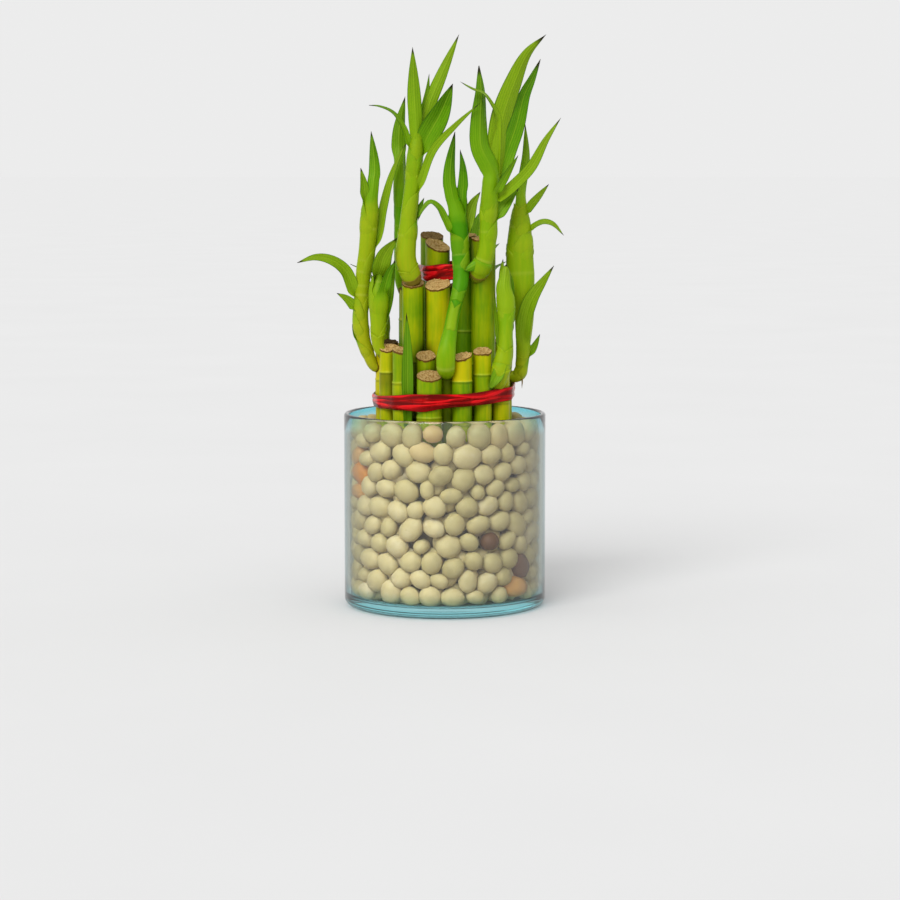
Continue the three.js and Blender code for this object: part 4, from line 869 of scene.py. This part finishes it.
    # 0.5 mm thick at the midrib, 0.16 mm at the edges, thinner at the tip.
    thick = (0.16 + 0.34 * (1 - np.abs(t) ** 3)) * np.clip((1 - share) * 8 + 0.25, 0, 1)[:, None]
    return slab(shape, thick, {
        "along": np.where(at < 0, at / max(sheath, 1), share)[:, None],
        "across": t,
        "across_mm": half * t,
        "tone": random.uniform(0, 1) if tone is None else tone,
        "deep": deep,
        "dry": dry,
        "yellow": yellow,
    })


def husk_surface(name, stem, low, high, wrap, notch, tone, dry=0.0):
    """What is left of a sheath: a thin patch on the front of a stem between two heights, its upper edge
    drawn up at the sides and cut down in the middle by the notch, its edges tucked in."""
    t, u = np.linspace(-1, 1, 19)[None, :], np.linspace(0, 1, 12)[:, None]
    first, last = np.interp((low, high), stem["middle"][:, 2], stem["far"])
    at = first + u * (last - first + notch * (np.abs(t) ** 0.8 - 1)) + 0.25 * (1 - u) * np.cos(7 * t)
    middle, half, side, deep = (
        read_at(at, stem["far"], stem[key]) for key in ("middle", "half", "across", "deep"))
    turn = wrap * t
    ahead = deep * np.sign(-deep[..., 1:2])
    ray = ahead * np.cos(turn)[..., None] + side * np.sin(turn)[..., None]
    oval = 1 / np.sqrt((np.cos(turn) / half[..., 1]) ** 2 + (np.sin(turn) / half[..., 0]) ** 2)
    stand = -0.3 + 0.62 * smooth_step(u, 0, 0.12) * (1 - np.abs(t) ** 6) + 0.25 * smooth_step(u, 0.75, 1)
    shape = middle + ray * (oval + stand)[..., None]
    # Where the middle of the patch would face into the stem, its columns run the other way.
    normal = np.cross(np.gradient(shape, axis=1), np.gradient(shape, axis=0))
    if normal[6, 9] @ ahead[6, 9] > 0:
        shape = shape[:, ::-1]
    return slab(shape, np.full(at.shape, 0.22), {
        "along": -0.5 + 0.4 * u, "across": 0.9 * t, "across_mm": 4 * t, "tone": tone, "deep": 0.0, "dry": dry,
        "yellow": stem_yellow(name, at)})


# ---- ribbons ----
CLOTH = 0.13  # the ribbon's thickness
TURNS, FIRST_TURN = 3.2, 0.2  # how often a ribbon goes round, and where on the way it starts


def winding(names, gap):
    """The line that a tight ribbon takes round the canes: for each direction the cane that reaches
    furthest that way, and the point where a tangent touches it; with the distances along it."""
    circles = np.array([CANES[n][:3] for n in names])
    normal = polar(1, circle(2880))
    furthest = (normal @ circles[:, :2].T + circles[None, :, 2]).argmax(1)
    touch = circles[furthest, :2] + (circles[furthest, 2:] + gap) * normal
    touch = np.vstack([touch, touch[:1]])
    return touch, distances(touch)


def ribbon_surface(names, level, slope_x, slope_y, height, seed, sag):
    """A ribbon wound round the canes and crushed to a strand. Its section climbs a bowed front, runs
    down again behind it and up once more behind that. Each turn lies over the upper edge of the last,
    wanders up and down across it, and swells and narrows; a thin wall closes the cloth."""
    random = np.random.default_rng(seed)
    loop, far = winding(names, 0.1)
    girth = far[-1]
    length = girth * TURNS
    at = np.arange(0, length, 0.8)
    where = at + FIRST_TURN * girth
    line, ahead, behind = (read_at((where % girth + shift) % girth, far, loop) for shift in (0, 0.6, -0.6))
    along = unit(ahead - behind)
    out = columns(along[:, 1], -along[:, 0])
    lap = (at / girth)[:, None]
    course = at / length * TURN
    # The section from its front to its back: how high on the strand, and in which layer.
    s, bends = np.linspace(0, 1, 40), (0, 0.42, 0.46, 0.72, 0.76, 1)
    up = np.interp(s, bends, (-0.5, 0.48, 0.48, -0.42, -0.42, 0.34))[None, :]
    layer = np.interp(s, bends, (2, 2, 1, 1, 0, 0))[None, :]
    tall = height * (0.47 + 0.07 * waves(course, random, 5, 22))[:, None].clip(0.3, 0.62)
    pitch = height * 0.225
    sway = pitch * (lap - 0.5 * TURNS + 0.05) + 0.08 * height * waves(course, random, 4, 16)[:, None]
    drop = -sag * bump(lap - 0.5, 0.03) * smooth_step(-up, 0.1, 0.5)
    pleat = np.sin(TURN * 0.95 * up + (2.6 * waves(course, random, 3, 20))[:, None])
    depth = (0.18 + 0.1 * waves(course, random, 5, 24))[:, None].clip(0.05, 0.34)
    bow = 0.42 * np.sqrt(np.clip(1 - (1.96 * up) ** 2, 0, 1))
    bow = bow + depth * (pleat + 1) * (1 - np.abs(2 * up) ** 2).clip(0)
    stand = 0.1 + 0.16 * lap + 0.2 * layer + np.clip(layer - 1, 0, 1) * bow
    centre = (level + slope_x * line[:, 0] + slope_y * line[:, 1])[:, None]
    shape = columns(line[:, :1] + out[:, :1] * stand, line[:, 1:] + out[:, 1:] * stand,
                    centre + tall * up + sway + drop)
    # Painted shade in the hollows between the pleats and under each turn's edges, stronger in some places
    # than in others; where it is low, on the crests, the material paints a highlight.
    valley = 0.5 - 0.5 * pleat + 0.35 * waves(course, random, 10, 60)[:, None]
    valley = np.maximum(smooth_step(np.abs(2 * up), 0.72, 1.0), np.clip(valley, 0, 1))
    return slab(shape[:, ::-1], np.full(shape.shape[:2], CLOTH), {
        "along_mm": at[:, None], "valley": valley[:, ::-1]}), length


# ---- pebbles ----
THICKEST = 4.1  # the largest half thickness of a stone
PUSHES = 160  # how often the stones push each other apart
# Stones that stand out in the photograph: bearing from the front, height, half size, and how orange
# and how brown.
ODD_STONES = (
    (-70, 76.3, 5.0, 0.55, 0.0), (-66, 67.0, 5.8, 0.95, 0.0), (-68, 58.6, 4.6, 0.6, 0.0),
    (50.5, 13.0, 5.6, 0.6, 0.0), (-7.5, 89.2, 4.6, 0.3, 0.0), (36, 87.5, 5.6, 0.1, 0.0),
    (-13.8, 80.6, 5.4, 0.14, 0.0), (55, 23.2, 5.8, 0.0, 0.95), (30.3, 36.6, 4.8, 0.0, 0.95),
)


def pushed(gap, reach):
    """The sum of the pushes on each point from those whose gap to it is shorter than their reach."""
    apart = np.linalg.norm(gap, axis=-1) + 1e-9
    return (gap * (np.clip(reach - apart, 0, None) / apart)[..., None]).sum(1)


def scattered(width, low, high, rows, sizes, held, random):
    """Places on a strip that closes on itself: staggered rows, shaken, then pushed apart until stones
    of these half sizes just touch. The stone nearest to each held place is kept there; also returned
    is which stones those are."""
    count = len(sizes)
    per_row = count // rows
    row, column = np.divmod(np.arange(count), per_row)
    place = columns((column + 0.5 * (row % 2)) * width / per_row, low + row * (high - low) / (rows - 1))
    place += random.normal(0, 1.7, place.shape)

    def gaps(a, b):
        """From each place of b to each of a, the short way round the strip."""
        gap = a[:, None] - b[None, :]
        gap[..., 0] -= width * np.round(gap[..., 0] / width)
        return gap

    kept = np.linalg.norm(gaps(held, place), axis=-1).argmin(1)
    for _ in range(PUSHES):
        place[kept] = held
        place += 0.3 * pushed(gaps(place, place), sizes[:, None] + sizes)
        place[:, 1] = np.clip(place[:, 1], low, high)
    place[kept] = held
    return place, kept


def turned(random, count, amount):
    """Small random turns about the three axes, one matrix for each stone."""
    whole = np.eye(3)
    for i, angle in enumerate(random.normal(0, amount, (3, count))):
        j, k = (i + 1) % 3, (i + 2) % 3
        turn = np.tile(np.eye(3), (count, 1, 1))
        turn[:, j, j] = turn[:, k, k] = np.cos(angle)
        turn[:, k, j], turn[:, j, k] = np.sin(angle), -np.sin(angle)
        whole = turn @ whole
    return whole


def round_axis(bearing):
    """Out from the axis and on round it, for each bearing, and up."""
    return polar(1, bearing, 0), columns(-np.sin(bearing), np.cos(bearing), 0), (0, 0, 1)


def stones_surface(centres, halves, frames, marks, random):
    """One pillow shape of 60 faces for each stone: a sphere swollen between its flat sides and its
    edge, made uneven by the squares of three random directions, scaled to its three half sizes,
    turned and set in its place. Its rows run along the first, thin direction."""
    down = np.radians((50, 90, 120, 152))[:, None]
    angle = circle(12)
    ball = columns(-np.cos(down), np.sin(down) * np.cos(angle), np.sin(down) * np.sin(angle)).reshape(-1, 3)
    ball = np.vstack([ball, (-1, 0, 0), (1, 0, 0)])
    swollen = 2.6
    ball = ball / (np.abs(ball[:, :1]) ** swollen
                   + np.hypot(ball[:, 1:2], ball[:, 2:]) ** swollen) ** (1 / swollen)
    ways = unit(random.normal(size=(len(centres), 3, 3)))
    lumps = 1 + 0.13 * (((ball[None] @ ways.transpose(0, 2, 1)) ** 2).sum(-1) - 1)
    skins = (ball[None] * lumps[..., None] * halves[:, None]) @ frames.transpose(0, 2, 1) + centres[:, None]
    # What would reach into the glass is moved back, up from the floor and in from the wall.
    clear = 0.15
    skins[..., 2] += np.clip(VASE["floor"] + clear - skins[..., 2].min(1), 0, None)[:, None]
    far = np.hypot(skins[..., 0], skins[..., 1]).max(1)
    too_far = np.clip(far - (VASE["radius"] - VASE["wall"] - clear), 0, None)
    skins[..., :2] -= (too_far[:, None] * unit(centres[:, :2] + 1e-6))[:, None]
    rows, cols, count = len(down), len(angle), len(ball)
    shift = (np.arange(len(centres)) * count)[:, None, None]
    return (skins.reshape(-1, 3), (ring_faces(rows, cols)[None] + shift).reshape(-1, 4),
            (fans(rows, cols)[None] + shift).reshape(-1, 3),
            {key: np.repeat(value, count) for key, value in marks.items()})


def wall_layer(rows, per_row, centre_radius, low, high, mean, held, random):
    """Stones that lie against a round wall, flat side outwards, some of them held at a bearing from the
    front, a height and a half size; also returned is which ones those are."""
    width = TURN * centre_radius
    count = rows * per_row
    held = np.array(held, float).reshape(-1, 3)
    size = np.clip(random.normal(mean, 0.12 * mean, count), 0.76 * mean, 1.3 * mean)
    spots = columns(np.radians(held[:, 0] - 90) * centre_radius % width, held[:, 1])
    place, kept = scattered(width, low, high, rows, size, spots, random)
    size[kept] = held[:, 2]
    out, on, up = round_axis(place[:, 0] / centre_radius)
    thin = random.uniform(3.6, THICKEST, count)
    centres = (centre_radius + THICKEST - thin)[:, None] * out + columns(0, 0, place[:, 1])
    halves = columns(thin, size * random.uniform(1.0, 1.14, count), size * random.uniform(0.94, 1.06, count))
    return centres, halves, columns(out, on, up) @ turned(random, count, 0.16), kept


def top_layer(level, random, canes):
    """Stones strewn flat over a level of the bed, pushed apart from each other and from the canes."""
    count, reach = 64, 35.5
    apart, beside, over = 9.8, 4.5, 3.4  # from stone to stone, and from a cane's skin to a stone
    bearing, distance = random.uniform(0, TURN, count), reach * np.sqrt(random.uniform(0.05, 1, count))
    place = polar(distance, bearing)
    for _ in range(PUSHES):
        place += 0.3 * pushed(place[:, None] - place, apart)
        place += 0.6 * pushed(place[:, None] - canes[:, :2], canes[:, 2] + beside)
        place *= np.minimum(1, reach / np.linalg.norm(place, axis=1, keepdims=True))
    place = place[(np.linalg.norm(place[:, None] - canes[:, :2], axis=-1) > canes[:, 2] + over).all(1)]
    count = len(place)
    bounds = (3.4, 3.9), (4.6, 5.7), (4.3, 5.2)
    halves = columns(*(random.uniform(low, high, count) for low, high in bounds))
    centres = np.column_stack([place, level + random.uniform(-0.2, 1.3, count)])
    out, on, up = round_axis(random.uniform(0, TURN, count))
    return centres, halves, columns(up, out, on) @ turned(random, count, 0.14)


def pebble_bed():
    """All the stones, and a lumpy core coloured dark as painted shade, which closes the view between them."""
    random = np.random.default_rng(77)
    canes = np.array([c[:3] for c in CANES.values()])
    *outer, kept = wall_layer(rows=10, per_row=25, centre_radius=42.8, low=10.1, high=88.0, mean=5.15,
                              held=[stone[:3] for stone in ODD_STONES], random=random)
    *inner, _ = wall_layer(rows=9, per_row=22, centre_radius=38.2, low=10.5, high=83.0, mean=5.3,
                           held=[], random=random)
    # Inner stones whose middles come within 2.4 mm of a cane are left out.
    clear = (np.linalg.norm(inner[0][:, None, :2] - canes[:, :2], axis=-1) > canes[:, 2] + 2.4).all(1)
    inner = [part[clear] for part in inner]
    top, bottom = (top_layer(level, random, canes) for level in (87.6, 9.0))
    centres, halves, frames = (np.concatenate(parts) for parts in zip(outer, inner, top, bottom))
    count = len(centres)
    orange, brown = np.zeros((2, count))
    orange[kept], brown[kept] = np.array(ODD_STONES)[:, 3:].T
    tone = np.clip(random.normal(0.3, 0.14, count), 0, 0.7)
    marks = {"tone": tone, "orange": orange, "brown": brown, "deep": np.zeros(count)}
    stones = stones_surface(centres, halves, frames, marks, random)
    # The core, coloured dark as painted shade between the stones: its heights and its radius at each,
    # drawn in below and above.
    angle = circle(72)
    heights = np.concatenate([[8.0], np.linspace(8.1, 82, 20), [82.1, 82.2, 82.3]])[:, None]
    reach = np.concatenate([[20], np.full(20, 38.0), [34, 22, 8]])[:, None]
    lumpy = reach + 0.6 * np.sin(9 * angle + heights * 0.4) * (reach > 30)
    core = closed_skin(polar(lumpy, angle, heights), {
        "tone": 0.0, "orange": 0.0, "brown": 0.0, "deep": 1.0})
    return joined([stones, core])


# ---- vase ----
def arc(centre_r, centre_z, radius, first, last, steps):
    """Points of a corner's arc in the turning plane, angles in degrees from outwards."""
    a = np.radians(np.linspace(first, last, steps))
    return polar(radius, a) + (centre_r, centre_z)


def vase_surface():
    """One profile turned round the axis: foot, outside, fire-polished rim, inside, floor."""
    r, h, w, floor = VASE["radius"], VASE["height"], VASE["wall"], VASE["floor"]
    foot, inner = VASE["foot_corner"], VASE["inner_corner"]
    profile = np.vstack([
        np.linspace((1.0, 0), (r - foot - 1, 0), 8),
        arc(r - foot, foot, foot, -90, 0, 10),
        np.linspace((r, foot), (r, h - w / 2), 12)[1:-1],
        arc(r - w / 2, h - w / 2, w / 2, 0, 180, 14),
        np.linspace((r - w, h - w / 2), (r - w, floor + inner), 12)[1:-1],
        arc(r - w - inner, floor + inner, inner, 0, -90, 7),
        np.linspace((r - w - inner - 1, floor), (1.0, floor), 8),
    ])
    angle = circle(192)
    around, height = profile[:, :1], profile[:, 1:]
    rings = polar(around, angle, height)
    # The rim is tinted least in front, where the stones show through it.
    rim = smooth_step(height, 88.5, 92) * (0.15 + 0.85 * smooth_step(rings[..., 1], -42, -8))
    thick_foot = 0.9 * smooth_step(-height, -6, -4.5) * smooth_step(around, 38, 46)
    return closed_skin(rings, {"blue": rim, "foot": thick_foot})


# ---- the object ----
stalk_look, leaf_look, stem_look = stalk_material(), leaf_material(), stem_material()
satin = satin_material()

piece("glass_vase", vase_surface(), glass_material(), "glass", "vase", sharp=60)
piece("pebble_bed", pebble_bed(), pebble_material(), "pebble", "pebbles", sharp=180)

for number, name in enumerate(CANES):
    shoot = SHOOTS.get(name)
    node = f"leafy_cane_{name}" if shoot else f"cane_{name}"
    slot = "leafy_cane" if shoot else "cane"
    piece(f"stalk_{name}", cane_surface(name, 100 + number), stalk_look, slot, node, sharp=45)
    if not shoot:
        continue
    random = np.random.default_rng(500 + number)
    stem = None
    if shoot["stem"]:
        stem = stem_frame(shoot["stem"])
        piece(f"stem_{name}", stem_surface(name, stem, random), stem_look, slot, node, sharp=70)
    # Sheaths of lower leaves lie over those of higher ones.
    by_height = np.argsort(np.argsort([-leaf[2][0][2] for leaf in shoot["leaves"]]))
    roots = [leaf_surface(name, 0.7, FRONT, path, None, 0, random, dry=1.0) for path in ROOTS.get(name, ())]
    husks = [husk_surface(name, stem, *patch) for patch in HUSKS.get(name, ())]
    blades = []
    for order, ((width, face, path), layer) in enumerate(zip(shoot["leaves"], by_height)):
        keel = 1 if order in KEEL_IN_FRONT.get(name, ()) else -1
        deep = 0.9 if stem is None else random.uniform(0, 0.35)
        blades.append(leaf_surface(
            name, width, face, path, stem, layer, random, keel, deep,
            tone=LEAF_TONE.get((name, order)), folded=FOLDED.get((name, order), 0.0)))
    piece(f"leaves_{name}", joined(blades + husks + roots), leaf_look, slot, node, sharp=180)

LOWER_WINDING = [n for n in CANES if n.startswith(("low_", "back_"))]
UPPER_WINDING = ["top_front", "top_back", "top_middle"]
# Canes, height on the axis and how it climbs to the right and to the back, height of the band, seed,
# and how far the middle of the front hangs.
for name, canes, *numbers in (
        ("ribbon_lower", LOWER_WINDING, 105.2, 0.058, 0.02, 7.4, 5, 0.8),
        ("ribbon_upper", UPPER_WINDING, 165.4, 0.035, 0.0, 8.4, 9, 0.4)):
    surface, length = ribbon_surface(canes, *numbers)
    wound = piece(f"satin_{name}", surface, satin, "ribbon", name, sharp=180)

# ---- stage and light ----
mesh = bpy.data.meshes.new("floor")
FLOOR_HALF, FLOOR_TOP = 60, -0.0002  # metres
corners = [(x * FLOOR_HALF, y * FLOOR_HALF, FLOOR_TOP) for x, y in ((-1, -1), (1, -1), (1, 1), (-1, 1))]
mesh.from_pydata(corners, [], [(0, 1, 2, 3)])
mesh.materials.append(floor_material())
floor = put("floor", mesh)

world = bpy.data.worlds.new("studio")
world.use_nodes = True
feed(world.node_tree.nodes["Background"], {"Color": "#ffffff", "Strength": 0.84})
scene.world = world

# One wide soft key from the upper left in front, as even over the floor as it is over the object.
key = bpy.data.lights.new("key", "SUN")
key.energy = 2.0
key.angle = math.radians(35)
put("key", key).rotation_euler = (math.radians(50), 0, math.radians(-24))

scene.view_settings.view_transform = "Standard"
